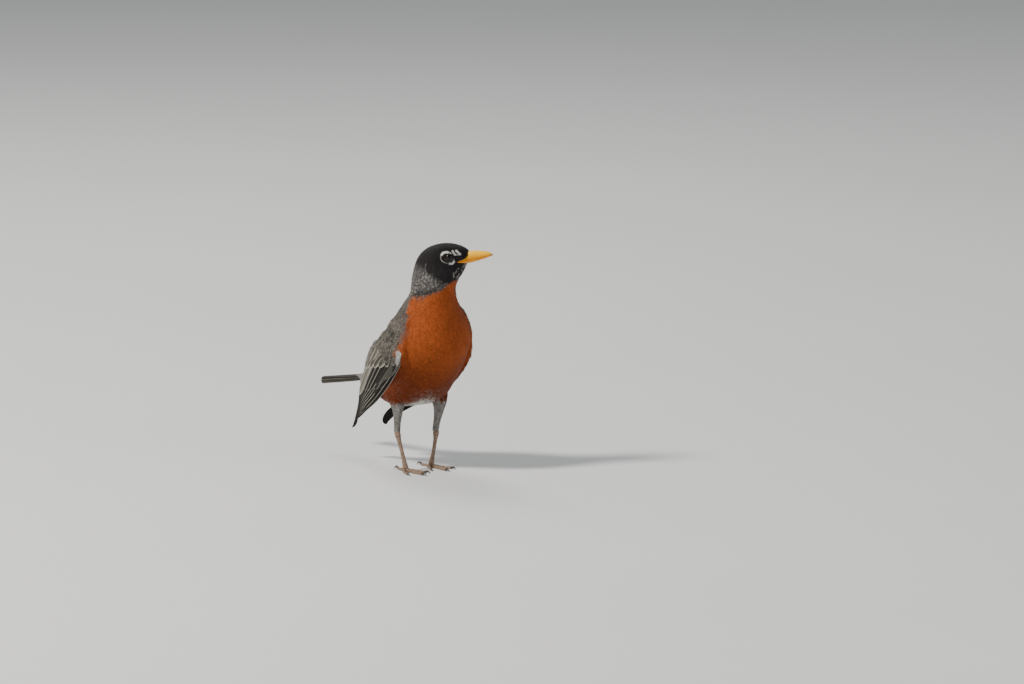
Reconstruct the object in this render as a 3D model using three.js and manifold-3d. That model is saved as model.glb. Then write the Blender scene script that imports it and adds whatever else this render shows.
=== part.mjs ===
// American robin (Turdus migratorius), standing alert with its head turned to the left.
// Millimetres. In the bird's own frame X points forward, Y to its left and Z up; the floor is Z = 0.
// The body is one loft from the tail coverts to the bill, parted into rump, trunk, neck and head.
// Folded wings, tail, bill, eyes, feathered thighs, bare legs, toes and claws are pieces of their own.
import * as THREE from 'three';
import Module from 'manifold-3d';
import { mergeVertices } from 'three/addons/utils/BufferGeometryUtils.js';

const wasm = await Module();
wasm.setup();

// ---- driving dimensions ----
const GAP = 0.3;                 // clearance between neighbouring pieces
const NECK_X = 21.2;             // the neck's upright axis, which the head turns about
const HEAD_TURN = 45;            // degrees to the left

const BODY_SIDES = 28;
const TRUNK_ROWS = 3;            // rows of faces per station
const HEAD_ROWS = 2;

const EYE_RADIUS = 3.9;
const EYE_FORWARD = 14.9;        // from the neck axis, along the head
const EYE_SIDE = 8.95;
const EYE_HEIGHT = 168.5;

const BILL_TIP = 47.6;           // from the neck axis, along the head
const BILL_TIP_HEIGHT = 170.2;
const GAPE = 19.6;               // corner of the mouth
const GAPE_HEIGHT = 164.4;
const BILL_ROWS = 8;
const BILL_SIDES = 8;

const WING_ROWS = 20;
const WING_COLUMNS = 9;
const WING_DEPTH = 3.2;          // coverts and quills together, over the arm
const WING_TIP_DEPTH = 0.9;
const WING_EDGE_DEPTH = 0.6;
const WING_LAY = 1.5;            // the least that the wing's outer face stands off the flank
const WING_UNDERLAY = 0.6;       // and its inner face
const WING_TUCK = 0.3;           // the share of both that is lost at the front edge
const WING_PARTS = [
  { name: 'coverts', from: 0, to: 0.4 },
  { name: 'secondaries', from: 0.4, to: 0.68 },
  { name: 'primaries', from: 0.68, to: 1 },
];

const TAIL_ROOT = [-32, 71.7];   // X and Z of the quills' roots
const TAIL_DROP = 8.6;           // degrees below level
const TAIL_LENGTH = 106;
const TAIL_ROOT_WIDTH = 8;       // half widths
const TAIL_END_WIDTH = 8.8;
const TAIL_ARCH = 4.5;           // the outer feathers lie this much below the middle pair
const TAIL_DEPTH = 2.2;
const TAIL_PAIRS = 6;
const TAIL_STEP = 0.3;           // each feather's edge over the next
const TAIL_CLOSE = 0.55;         // the share of both that is lost at the end
const TAIL_ROUND = 9;             // the outermost feathers end this much short
const TAIL_ROWS = 5;

const LEG_SIDES = 10;
const TOE_SIDES = 8;
const TOE_LIFT = 0.86;           // a toe's centre height in toe radii, so its pad is flat on the floor
const CLAW_SIDES = 5;

// ---- the body's stations, tail to bill ----
// back and belly are [X, Z] of the outline in the bird's middle plane, measured from the neck axis,
// wide is the half width, high moves the widest place toward the back, and full squares its belly half.
const STATIONS = [
  { at: 'covert tips', back: [-91, 67.3], belly: [-93, 61.8], wide: 9.5, high: 0, full: 0 },
  { at: 'tail coverts', back: [-79, 71], belly: [-81, 58.5], wide: 12.5, high: 0, full: 0 },
  { at: 'vent', back: [-65, 77.5], belly: [-65, 54.5], wide: 16.5, high: 0, full: 0.5 },
  { at: 'rump', back: [-54, 88], belly: [-43, 49.8], wide: 23, high: 0, full: 1.3 },
  { at: 'loins', back: [-47, 99], belly: [-21, 49.8], wide: 28.4, high: -0.05, full: 1.2 },
  { at: 'belly', back: [-40, 109], belly: [-0.5, 61.5], wide: 31, high: -0.05, full: 0.2 },
  { at: 'breast', back: [-32, 118.5], belly: [14, 77.5], wide: 32.6, high: -0.02, full: 0 },
  { at: 'shoulders', back: [-24, 127], belly: [22.5, 95], wide: 31.8, high: 0, full: 0 },
  { at: 'upper breast', back: [-18, 135], belly: [22, 112], wide: 26.3, high: 0.05, full: 0 },
  { at: 'neck foot', back: [-15.8, 141], belly: [19.3, 128], wide: 20.4, high: 0, full: 0 },
  { at: 'low neck', back: [-16.2, 146], belly: [18.2, 137], wide: 18, high: 0, full: 0 },
  { at: 'mid neck', back: [-16.2, 150], belly: [18.2, 143.5], wide: 16.8, high: 0, full: 0 },
  { at: 'high neck', back: [-15.4, 154.5], belly: [20.2, 149.5], wide: 16, high: 0, full: 0 },
  { at: 'nape', back: [-14, 160], belly: [23.2, 154.5], wide: 14.8, high: 0.08, full: 0 },
  { at: 'jaw', back: [-12, 165.5], belly: [25.2, 158], wide: 13.8, high: 0.2, full: 0 },
  { at: 'ear', back: [-8.3, 170.8], belly: [26.2, 160], wide: 13, high: 0.32, full: 0 },
  { at: 'hind crown', back: [-2, 175.3], belly: [26.8, 161.2], wide: 12.3, high: 0.4, full: 0 },
  { at: 'crown', back: [6, 177.7], belly: [27, 161.9], wide: 11.6, high: 0.42, full: 0 },
  { at: 'brow', back: [14, 178], belly: [27.2, 162.4], wide: 10.6, high: 0.38, full: 0 },
  { at: 'forehead', back: [21, 176.8], belly: [27.5, 162.8], wide: 9, high: 0.3, full: 0 },
  { at: 'lores', back: [26, 174.6], belly: [27.8, 163.3], wide: 7, high: 0.2, full: 0 },
  { at: 'bill base', back: [29.4, 171.9], belly: [28, 164.2], wide: 4.8, high: 0.1, full: 0 },
];
// The head's turn at each station from the neck's foot to the nape; past it the turn is whole.
const NECK_TURN = [0, 0.18, 0.4, 0.67, 0.89, 1];
const stationIndex = (name) => STATIONS.findIndex((station) => station.at === name);

// ---- small maths ----
function catmullRom(values, place) {
  const last = values.length - 1;
  const index = Math.min(Math.max(Math.floor(place), 0), last - 1);
  const f = place - index;
  const value = (i) => values[Math.min(Math.max(i, 0), last)];
  const [a, b, c, d] = [value(index - 1), value(index), value(index + 1), value(index + 2)];
  const slope = c - a;
  const bend = 2 * a - 5 * b + 4 * c - d;
  const twist = 3 * b - a - 3 * c + d;
  return 0.5 * (2 * b + slope * f + bend * f * f + twist * f ** 3);
}

// A named curve along 0..1 through evenly spaced values.
const profile = (values) => (place) => catmullRom(values, place * (values.length - 1));

const range = (count, from, to) => (
  Array.from({ length: count + 1 }, (_, i) => from + (to - from) * i / count)
);

// ---- closed bodies from rings of points ----
// An end is closed by a ladder of faces from one side of the ring to the other, so that a thin bent
// section is closed along its own bend.
function ladder(first, sides) {
  const faces = [];
  let [a, b] = [0, sides - 1];
  while (b - a > 1) {
    faces.push([first + a, first + a + 1, first + b]);
    a += 1;
    if (b - a > 1) {
      faces.push([first + a, first + b - 1, first + b]);
      b -= 1;
    }
  }
  return faces;
}

function loftGeometry(rings) {
  const sides = rings[0].length;
  const points = rings.flat();
  const faces = [];
  for (let row = 0; row < rings.length - 1; row += 1) {
    for (let side = 0; side < sides; side += 1) {
      const a = row * sides + side;
      const b = row * sides + (side + 1) % sides;
      faces.push(a, b, b + sides, a, b + sides, a + sides);
    }
  }
  ladder(0, sides).forEach(([a, b, c]) => faces.push(a, c, b));
  ladder(points.length - sides, sides).forEach((face) => faces.push(...face));
  const geometry = new THREE.BufferGeometry().setFromPoints(points);
  geometry.setIndex(volume(points, faces) < 0 ? faces.reverse() : faces);
  return geometry;
}

function volume(points, faces) {
  let sum = 0;
  const across = new THREE.Vector3();
  for (let i = 0; i < faces.length; i += 3) {
    across.crossVectors(points[faces[i + 1]], points[faces[i + 2]]);
    sum += points[faces[i]].dot(across) / 6;
  }
  return sum;
}

// ---- joins and cuts ----
function solidOf(geometry) {
  const bare = geometry.clone();
  bare.deleteAttribute('normal');
  bare.deleteAttribute('uv');
  const merged = mergeVertices(bare, 1e-5);
  return new wasm.Manifold(new wasm.Mesh({
    numProp: 3,
    vertProperties: new Float32Array(merged.attributes.position.array),
    triVerts: new Uint32Array(merged.index.array),
  }));
}

function geometryOf(solid) {
  const mesh = solid.getMesh();
  const geometry = new THREE.BufferGeometry();
  geometry.setAttribute('position', new THREE.BufferAttribute(mesh.vertProperties, 3));
  geometry.setIndex(new THREE.BufferAttribute(mesh.triVerts, 1));
  return geometry;
}

function cut(geometry, ...tools) {
  const solid = tools.reduce((left, tool) => left.subtract(solidOf(tool)), solidOf(geometry));
  return geometryOf(solid);
}

// ---- materials ----
const finish = (color, roughness) => (
  () => new THREE.MeshStandardMaterial({ color, roughness, metalness: 0, flatShading: true })
);
const blackFeather = finish('#1d1a1b', 0.7);
const greyFeather = finish('#5d5856', 0.85);
const rustFeather = finish('#a5441b', 0.85);
const paleFeather = finish('#cfc9c0', 0.9);
const quillFeather = finish('#3b3532', 0.7);
const billHorn = finish('#e3a33a', 0.4);
const eyeGloss = finish('#140c08', 0.05);
const legScale = finish('#6f5a52', 0.55);
const clawHorn = finish('#2a211d', 0.4);

function piece(name, geometry, material) {
  const mesh = new THREE.Mesh(geometry, material());
  mesh.name = name;
  return mesh;
}

// ---- body: rump, trunk, neck and head ----
function neckTurn(place) {
  const start = stationIndex('upper breast');
  return place < start ? 0 : catmullRom(NECK_TURN, Math.min(place - start, NECK_TURN.length - 1));
}

// Angle 0 is the middle of the back and grows toward the bird's left. Turned is what the piece's own
// group already turns, so that a head is made looking straight ahead.
function bodyPoint(place, angle, grown = 0, turned = 0) {
  const along = (key, axis) => catmullRom(STATIONS.map((s) => s[key][axis]), place);
  const size = (key) => catmullRom(STATIONS.map((s) => s[key] ?? 0), place);
  const [backX, backZ] = [along('back', 0), along('back', 1)];
  const [bellyX, bellyZ] = [along('belly', 0), along('belly', 1)];
  const half = Math.hypot(backX - bellyX, backZ - bellyZ) / 2;
  const power = Math.cos(angle) < 0 ? 2 + size('full') : 2;
  const round = (Math.abs(Math.cos(angle)) ** power + Math.abs(Math.sin(angle)) ** power) ** (-1 / power);
  const depth = Math.cos(angle) * round;
  const across = Math.sin(angle) * round;
  const reach = depth * (half + grown) / half;
  const forward = (backX + bellyX) / 2 + reach * (backX - bellyX) / 2;
  const up = (backZ + bellyZ) / 2 + reach * (backZ - bellyZ) / 2;
  const side = (size('wide') + grown) * across * (1 + size('high') * depth);
  const turn = THREE.MathUtils.degToRad(HEAD_TURN * neckTurn(place) - turned);
  const x = forward * Math.cos(turn) - side * Math.sin(turn);
  const y = forward * Math.sin(turn) + side * Math.cos(turn);
  return new THREE.Vector3(x, y, up);
}

// Half the trunk's width at a point of the middle plane, by the station whose section holds it,
// with the trunk grown all round.
function flankWidth(x, z, grown) {
  const at = (key, axis, place) => catmullRom(STATIONS.map((s) => s[key][axis]), place);
  const size = (key, place) => catmullRom(STATIONS.map((s) => s[key]), place);
  let [low, high] = [0, TRUNK_END];
  const side = (place) => {
    const [backX, backZ] = [at('back', 0, place) + NECK_X, at('back', 1, place)];
    const [bellyX, bellyZ] = [at('belly', 0, place) + NECK_X, at('belly', 1, place)];
    return (bellyX - backX) * (z - backZ) - (bellyZ - backZ) * (x - backX);
  };
  for (let halving = 0; halving < 24; halving += 1) {
    const half = (low + high) / 2;
    if (side(half) > 0) low = half;
    else high = half;
  }
  const back = new THREE.Vector2(at('back', 0, low) + NECK_X, at('back', 1, low));
  const belly = new THREE.Vector2(at('belly', 0, low) + NECK_X, at('belly', 1, low));
  const middle = back.clone().add(belly).divideScalar(2);
  const half = back.distanceTo(belly) / 2;
  const depth = new THREE.Vector2(x, z).sub(middle).dot(back.sub(middle)) / half / (half + grown);
  const power = depth < 0 ? 2 + size('full', low) : 2;
  const across = Math.max(1 - Math.abs(depth) ** power, 0) ** (1 / power);
  return (size('wide', low) + grown) * across * (1 + size('high', low) * depth);
}

function bodyGeometry(from, to, grown = 0, turned = 0) {
  const perStation = from < TRUNK_END ? TRUNK_ROWS : HEAD_ROWS;
  const rows = Math.round((to - from) * perStation);
  const angles = range(BODY_SIDES, 0, 2 * Math.PI).slice(0, -1);
  return loftGeometry(range(rows, from, to).map((place) => (
    angles.map((angle) => bodyPoint(place, angle, grown, turned))
  )));
}

const SPLIT = 0.035;             // half the parting gap, in stations
const RUMP_END = stationIndex('rump');
const TRUNK_END = stationIndex('neck foot');
const NECK_END = stationIndex('nape');
const HEAD_END = stationIndex('bill base');

// ---- eyes and bill, in the head's own frame: X forward from the neck axis ----
function eyeGeometry(side, radius) {
  const eye = new THREE.SphereGeometry(radius, 12, 8);
  eye.translate(EYE_FORWARD, side * EYE_SIDE, EYE_HEIGHT);
  return eye;
}

// The mouth line rises from its corner to the bill's tip. Each profile runs along it, 0 to 1.
const mouthHeight = (f) => GAPE_HEIGHT + (BILL_TIP_HEIGHT - GAPE_HEIGHT) * (0.86 * f + 0.14 * f * f);
const billHalfWidth = profile([7.6, 6.9, 5.3, 3.9, 2.9, 1.9, 0.4]);
const upperBillDepth = profile([2.4, 4.6, 5.9, 5.6, 4.7, 3.5, 0.5]);
const lowerBillDepth = profile([0.8, 1.9, 2.7, 2.4, 1.9, 1.2, 0.3]);

function billGeometry(direction, depth, grown = 0) {
  const rings = range(BILL_ROWS, 0, 1).map((f) => {
    const x = GAPE + (BILL_TIP - GAPE) * f + grown * (2 * f - 1);
    const wide = billHalfWidth(f) + grown;
    const base = mouthHeight(f) + direction * (GAP / 2 - grown);
    const arc = range(BILL_SIDES, 0, Math.PI).map((angle) => new THREE.Vector3(
      x,
      wide * Math.cos(angle),
      base + direction * (depth(f) + 2 * grown) * Math.sin(angle) ** 0.85,
    ));
    const floor = range(3, -0.5, 0.5).slice(1, -1).map((s) => new THREE.Vector3(x, 2 * s * wide, base));
    return [...arc, ...floor];
  });
  return loftGeometry(rings);
}
const upperBill = (grown) => billGeometry(1, upperBillDepth, grown);
const lowerBill = (grown) => billGeometry(-1, lowerBillDepth, grown);

function headGroup() {
  const sides = [['left', 1], ['right', -1]];
  const head = new THREE.Group();
  head.position.x = NECK_X;
  head.rotation.z = THREE.MathUtils.degToRad(HEAD_TURN);
  const flesh = cut(
    bodyGeometry(NECK_END + SPLIT, HEAD_END, 0, HEAD_TURN),
    upperBill(1.3 * GAP),
    lowerBill(1.3 * GAP),
    ...sides.map(([, side]) => eyeGeometry(side, EYE_RADIUS + GAP)),
  );
  head.add(piece('head', flesh, blackFeather));
  head.add(piece('bill_upper', upperBill(), billHorn));
  head.add(piece('bill_lower', lowerBill(), billHorn));
  sides.forEach(([name, side]) => {
    head.add(piece(`eye_${name}`, eyeGeometry(side, EYE_RADIUS), eyeGloss));
  });
  return head;
}

function bodyGroup() {
  const body = new THREE.Group();
  body.position.x = NECK_X;
  body.add(piece('neck', bodyGeometry(TRUNK_END + SPLIT, NECK_END - SPLIT), greyFeather));
  body.add(piece('trunk', bodyGeometry(RUMP_END + SPLIT, TRUNK_END - SPLIT), rustFeather));
  body.add(piece('rump', bodyGeometry(0, RUMP_END - SPLIT), paleFeather));
  return body;
}

// The same flesh in the bird's frame, grown by the gap, to cut what lies on it.
function fleshTool(from, to) {
  return bodyGeometry(from, to, GAP).translate(NECK_X, 0, 0);
}

// ---- folded wings ----
// The back edge runs from the shoulder down beside the back to the wing tip, and the front edge
// from the wrist along the flank. Both are given for the left wing.
const WING_BACK_EDGE = new THREE.CatmullRomCurve3([
  new THREE.Vector3(11, 18.5, 129),
  new THREE.Vector3(-7.5, 18.5, 117),
  new THREE.Vector3(-31.3, 16, 96.5),
  new THREE.Vector3(-47.8, 13.5, 79.5),
  new THREE.Vector3(-60.5, 12.5, 65.5),
  new THREE.Vector3(-62.2, 14, 50),
  new THREE.Vector3(-66, 15, 35.4),
  new THREE.Vector3(-71, 15.2, 25),
]);
const WING_FRONT_EDGE = new THREE.CatmullRomCurve3([
  new THREE.Vector3(26.5, 26.8, 119.6),
  new THREE.Vector3(27, 31.2, 104),
  new THREE.Vector3(24.5, 31.4, 88.5),
  new THREE.Vector3(9.7, 31.4, 72.8),
  new THREE.Vector3(-17.8, 27.6, 53.6),
  new THREE.Vector3(-46.8, 21.4, 39.6),
  new THREE.Vector3(-61.4, 18, 32),
  new THREE.Vector3(-70.4, 16, 24.2),
]);
const wingBulge = profile([4, 7.6, 9.6, 10, 9, 6.2, 3.6, 1.8, 0.8]);
const wingDepth = profile([1, WING_DEPTH, WING_DEPTH, 3, 2.6, 2, 1.6, 1.2, WING_TIP_DEPTH]);

const tucked = (lay, across) => lay * (1 - WING_TUCK * across ** 4);

function wingPoint(along, across) {
  const back = WING_BACK_EDGE.getPointAt(along);
  const front = WING_FRONT_EDGE.getPointAt(along);
  const point = back.lerp(front, across);
  point.y += wingBulge(along) * 4 * across * (1 - across);
  point.y = Math.max(point.y, flankWidth(point.x, point.z, tucked(WING_LAY, across)));
  return point;
}

function wingNormal(along, across) {
  const step = 0.01;
  const a = Math.min(along, 1 - step);
  const c = Math.min(across, 1 - step);
  const down = wingPoint(a + step, c).sub(wingPoint(a, c));
  const forward = wingPoint(a, c + step).sub(wingPoint(a, c));
  return forward.cross(down).normalize();
}

function wingGeometry(side, from, to) {
  const rows = Math.max(4, Math.round(WING_ROWS * (to - from)));
  const rings = range(rows, from, to).map((along) => {
    const outer = range(WING_COLUMNS, 0, 1).map((across) => wingPoint(along, across));
    const inner = range(WING_COLUMNS, 1, 0).map((across) => {
      const middle = Math.sqrt(4 * across * (1 - across));
      const depth = WING_EDGE_DEPTH + (wingDepth(along) - WING_EDGE_DEPTH) * middle;
      const point = wingPoint(along, across).addScaledVector(wingNormal(along, across), -depth);
      const flank = flankWidth(point.x, point.z, tucked(WING_UNDERLAY, across));
      return point.setY(Math.max(point.y, flank));
    });
    return [...outer, ...inner].map((point) => point.setY(point.y * side));
  });
  return loftGeometry(rings);
}

function wingGroup(name, side) {
  const wing = new THREE.Group();
  const parting = 0.0015;
  WING_PARTS.forEach((part) => {
    const from = part.from === 0 ? 0 : part.from + parting;
    const to = part.to === 1 ? 1 : part.to - parting;
    wing.add(piece(`wing_${name}_${part.name}`, wingGeometry(side, from, to), quillFeather));
  });
  return wing;
}

// ---- tail: twelve folded feathers, each edge a step over the next ----
function tailGeometry() {
  const lateral = [];
  for (let pair = 0; pair < TAIL_PAIRS; pair += 1) {
    lateral.push([pair / TAIL_PAIRS, pair], [(pair + 0.9) / TAIL_PAIRS, pair]);
  }
  const across = [...lateral.slice(1).reverse().map(([s, pair]) => [-s, pair]), ...lateral];
  const rings = range(TAIL_ROWS, 0, 1).map((f) => {
    const wide = TAIL_ROOT_WIDTH + (TAIL_END_WIDTH - TAIL_ROOT_WIDTH) * f;
    const top = across.map(([s, pair]) => {
      const end = TAIL_LENGTH - TAIL_ROUND * (pair / TAIL_PAIRS) ** 2;
      const sag = (TAIL_ARCH * s * s + TAIL_STEP * pair) * (1 - TAIL_CLOSE * f);
      return new THREE.Vector3(-end * f, s * wide, -sag);
    });
    const under = top.map((point) => point.clone().setZ(point.z - TAIL_DEPTH * (1 - 0.35 * f)));
    return [...top, ...under.reverse()];
  });
  return loftGeometry(rings);
}

function tailMesh() {
  const drop = THREE.MathUtils.degToRad(-TAIL_DROP);
  const placed = tailGeometry().rotateY(drop).translate(TAIL_ROOT[0], 0, TAIL_ROOT[1]);
  return piece('tail', cut(placed, fleshTool(0, RUMP_END), fleshTool(RUMP_END, TRUNK_END)), quillFeather);
}

// ---- limbs: round sections along a curve ----
function limbGeometry(points, radii, sides, steps, shape = {}) {
  const curve = new THREE.CatmullRomCurve3(points.map((p) => new THREE.Vector3(...p)));
  const radius = profile(radii);
  const stretch = shape.stretch ?? 1;
  const up = new THREE.Vector3(...(shape.up ?? [0, 0, 1]));
  const flatSide = shape.flatUnder ? Math.PI / sides : 0;
  const rings = range(steps, 0, 1).map((f) => {
    const centre = curve.getPointAt(f);
    const tangent = curve.getTangentAt(f);
    const across = new THREE.Vector3().crossVectors(up, tangent).normalize();
    const lift = new THREE.Vector3().crossVectors(tangent, across);
    return range(sides, 0, 2 * Math.PI).slice(0, -1).map((angle) => {
      const point = centre.clone();
      point.addScaledVector(across, radius(f) * Math.cos(angle + flatSide));
      point.addScaledVector(lift, stretch * radius(f) * Math.sin(angle + flatSide));
      point.z = Math.max(point.z, 0);
      return point;
    });
  });
  return loftGeometry(rings);
}

// Each leg's joints in the bird's frame, with the thigh's root inside the flank and the foot's X and Y.
const LEGS = [
  {
    name: 'left',
    side: 1,
    thigh: [-2, 17, 62],
    knee: [2.4, 18, 52],
    heel: [-1.8, 17.7, 28.5],
    foot: [-2.3, 13.5],
  },
  {
    name: 'right',
    side: -1,
    thigh: [-6, -17, 62],
    knee: [-0.6, -18, 50.5],
    heel: [-1.7, -17.7, 30.5],
    foot: [6, -15],
  },
];
const THIGH_RADII = [9.8, 8.4, 6, 4.3, 3.3, 2.7, 2.5];
const TARSUS_RADII = [2.0, 2.4, 1.8, 1.55, 1.5, 1.5, 1.6, 1.9, 2.3];
const FOOT_HEIGHT = 2.6;         // the tarsus ends this high, over the toes' roots
const TOES = [
  { name: 'hallux', heading: 176, set: 0, length: 11.5, radius: 1.25, claw: 7.5, joints: 1 },
  { name: 'inner', heading: 25, set: 2.5, length: 15, radius: 1.15, claw: 5, joints: 2 },
  { name: 'middle', heading: 2, set: 0, length: 22.5, radius: 1.3, claw: 5.6, joints: 3 },
  { name: 'outer', heading: -20, set: -2.5, length: 16.5, radius: 1.1, claw: 4.8, joints: 4 },
];

function tarsusGeometry(leg, grown = 0) {
  const [fx, fy] = leg.foot;
  const [hx, hy, hz] = leg.heel;
  const points = [
    [hx - 0.4, hy, hz + 1.2 + grown],
    [hx, hy, hz - 1],
    [(hx + fx) / 2 + 0.5, (hy + fy) / 2, hz / 2],
    [fx, fy, FOOT_HEIGHT - grown],
  ];
  const radii = TARSUS_RADII.map((radius) => radius + grown);
  return limbGeometry(points, radii, LEG_SIDES, 10, { up: [1, 0, 0] });
}

function thighGeometry(leg) {
  const [hx, hy, hz] = leg.heel;
  const hem = [hx - 0.3, hy, hz + 1.8];
  return limbGeometry([leg.thigh, leg.knee, hem], THIGH_RADII, 14, 9, { up: [1, 0, 0] });
}

// A toe swells at its joints and lies flat on the floor; its claw arcs over and down to the floor.
function toeGeometries(leg, toe) {
  const heading = THREE.MathUtils.degToRad(leg.side * -toe.heading);
  const place = (reach, height) => [
    leg.foot[0] + Math.cos(heading) * reach,
    leg.foot[1] + Math.sin(heading) * reach - leg.side * toe.set,
    height,
  ];
  const thickness = (f) => toe.radius * (1.08 - 0.22 * f);
  const knuckles = range(2 * toe.joints + 2, 0, 1).map((f, i) => thickness(f) * (i % 2 ? 0.93 : 1.06));
  const level = thickness(1) * TOE_LIFT;
  const start = 0.9;
  const toePoints = [
    place(start, thickness(0) * TOE_LIFT + 0.4),
    place(start + 3, thickness(0.2) * TOE_LIFT),
    place(toe.length, level),
  ];
  const flesh = limbGeometry(toePoints, knuckles, TOE_SIDES, 7, { flatUnder: true });
  const root = toe.length + GAP;
  const arch = toe.claw * 0.16;
  const clawPoints = [
    place(root, level * 1.02),
    place(root + toe.claw * 0.45, level + arch),
    place(root + toe.claw * 0.8, level * 0.8),
    place(root + toe.claw * 0.95, 0.25),
  ];
  const claw = limbGeometry(clawPoints, [0.82, 0.75, 0.6, 0.4, 0.18], CLAW_SIDES, 5, { stretch: 1.15 });
  return { flesh, claw };
}

function legGroup(leg) {
  const group = new THREE.Group();
  const grownTarsus = tarsusGeometry(leg, GAP);
  const thigh = cut(thighGeometry(leg), fleshTool(RUMP_END, TRUNK_END), grownTarsus);
  group.add(piece(`thigh_${leg.name}`, thigh, paleFeather));
  group.add(piece(`tarsus_${leg.name}`, tarsusGeometry(leg), legScale));
  TOES.forEach((toe) => {
    const { flesh: toeFlesh, claw } = toeGeometries(leg, toe);
    group.add(piece(`toe_${leg.name}_${toe.name}`, cut(toeFlesh, grownTarsus), legScale));
    group.add(piece(`claw_${leg.name}_${toe.name}`, claw, clawHorn));
  });
  return group;
}

// ---- the whole bird, with the origin on the floor under the middle of its box ----
const bird = new THREE.Group();
bird.add(bodyGroup(), headGroup(), tailMesh());
bird.add(wingGroup('left', 1), wingGroup('right', -1));
LEGS.forEach((leg) => bird.add(legGroup(leg)));
const box = new THREE.Box3().setFromObject(bird, true);
const middle = box.getCenter(new THREE.Vector3());
bird.position.set(-middle.x, -middle.y, -box.min.z);

const robin = new THREE.Group();
robin.add(bird);

export default robin;
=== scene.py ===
"""American robin, life size, standing: plumage, bill, eyes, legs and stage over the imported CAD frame.

Shapes are worked out in millimetres in the bird's own frame: X forward, Y to its left, Z up, floor at 0.
The body is one sheet of points over two coordinates, a place from the tail (0) to the bill (21) and an
angle round the body that is 0 along the back and grows to the bird's left. Each wing, thigh and the tail
is a sheet of its own. Feathers are laid on these sheets: every vertex of a vane is found on its sheet
and raised along the sheet's normal, so vanes follow the form and overlap as they do in life.
"""

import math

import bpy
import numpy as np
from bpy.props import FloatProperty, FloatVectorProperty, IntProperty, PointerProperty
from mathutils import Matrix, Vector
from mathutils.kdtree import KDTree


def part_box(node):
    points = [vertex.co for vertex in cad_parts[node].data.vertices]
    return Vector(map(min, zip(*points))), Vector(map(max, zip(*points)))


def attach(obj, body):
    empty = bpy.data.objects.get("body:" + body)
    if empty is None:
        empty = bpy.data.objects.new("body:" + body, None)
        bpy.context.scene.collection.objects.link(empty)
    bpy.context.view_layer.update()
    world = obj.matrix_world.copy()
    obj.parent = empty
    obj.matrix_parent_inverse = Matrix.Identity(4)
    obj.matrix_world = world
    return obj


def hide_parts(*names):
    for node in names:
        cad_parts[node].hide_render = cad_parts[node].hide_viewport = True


bl_info = {
    "name": "American robin",
    "version": (1, 0, 0),
    "blender": (4, 5, 0),
    "location": "3D View > Sidebar > Robin",
    "description": "Plumage, bill, eyes and legs of a standing American robin",
    "category": "Add Mesh",
}

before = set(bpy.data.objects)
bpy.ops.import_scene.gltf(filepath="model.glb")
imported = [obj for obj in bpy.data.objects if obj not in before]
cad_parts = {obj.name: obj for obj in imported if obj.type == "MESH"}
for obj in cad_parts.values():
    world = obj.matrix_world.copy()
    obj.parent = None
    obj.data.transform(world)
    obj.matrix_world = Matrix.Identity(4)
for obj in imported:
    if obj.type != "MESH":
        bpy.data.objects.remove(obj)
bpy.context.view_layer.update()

MM = 0.001
SIDES = (("left", 1), ("right", -1))
AROUND = (-math.pi, math.pi)
FULL_TURN = (0, math.tau)

# ---- the body's form, as the CAD states it ----
NECK_X = 21.2                    # the neck's upright axis, which the head turns about
HEAD_TURN = math.radians(45)     # to the left
# Each station's back X and Z and belly X and Z in the middle plane, from the neck axis, then its half
# width, how far the widest place lies toward the back, and how square its belly half is.
STATIONS = np.array([
    [-91, 67.3, -93, 61.8, 9.5, 0, 0],          # covert tips
    [-79, 71, -81, 58.5, 12.5, 0, 0],           # tail coverts
    [-65, 77.5, -65, 54.5, 16.5, 0, 0.5],       # vent
    [-54, 88, -43, 49.8, 23, 0, 1.3],           # rump
    [-47, 99, -21, 49.8, 28.4, -0.05, 1.2],     # loins
    [-40, 109, -0.5, 61.5, 31, -0.05, 0.2],     # belly
    [-32, 118.5, 14, 77.5, 32.6, -0.02, 0],     # breast
    [-24, 127, 22.5, 95, 31.8, 0, 0],           # shoulders
    [-18, 135, 22, 112, 26.3, 0.05, 0],         # upper breast
    [-15.8, 141, 19.3, 128, 20.4, 0, 0],        # neck foot
    [-16.2, 146, 18.2, 137, 18, 0, 0],          # low neck
    [-16.2, 150, 18.2, 143.5, 16.8, 0, 0],      # mid neck
    [-15.4, 154.5, 20.2, 149.5, 16, 0, 0],      # high neck
    [-14, 160, 23.2, 154.5, 14.8, 0.08, 0],     # nape
    [-12, 165.5, 25.2, 158, 13.8, 0.2, 0],      # jaw
    [-8.3, 170.8, 26.2, 160, 13, 0.32, 0],      # ear
    [-2, 175.3, 26.8, 161.2, 12.3, 0.4, 0],     # hind crown
    [6, 177.7, 27, 161.9, 11.6, 0.42, 0],       # crown
    [14, 178, 27.2, 162.4, 10.6, 0.38, 0],      # brow
    [21, 176.8, 27.5, 162.8, 9, 0.3, 0],        # forehead
    [26, 174.6, 27.8, 163.3, 7, 0.2, 0],        # lores
    [29.4, 171.9, 28, 164.2, 4.8, 0.1, 0],      # bill base
])
UPPER_BREAST, NECK_FOOT, NAPE, BILL_BASE = 8, 9, 13, 21
NECK_TURN = np.array([[0], [0.18], [0.4], [0.67], [0.89], [1]])    # shares, from the upper breast on

EYE = np.array([14.9, 8.95, 168.5])     # centre of the left eye in the head's frame
EYE_RADIUS = 3.9
EYE_LEAN = 0.22                  # how far forward an eye's axis runs for each step outward
GAPE = (19.6, 164.4)             # X and Z of the mouth's corner in the head's frame
BILL_TIP = (47.6, 170.2)
BILL_WIDTH = [7.6, 6.9, 5.3, 3.9, 2.9, 1.9, 0.4]
UPPER_DEPTH = [2.4, 4.5, 5.6, 5.2, 4.2, 2.9, 0.5]
LOWER_DEPTH = [0.8, 1.9, 2.7, 2.4, 1.9, 1.2, 0.3]


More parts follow.
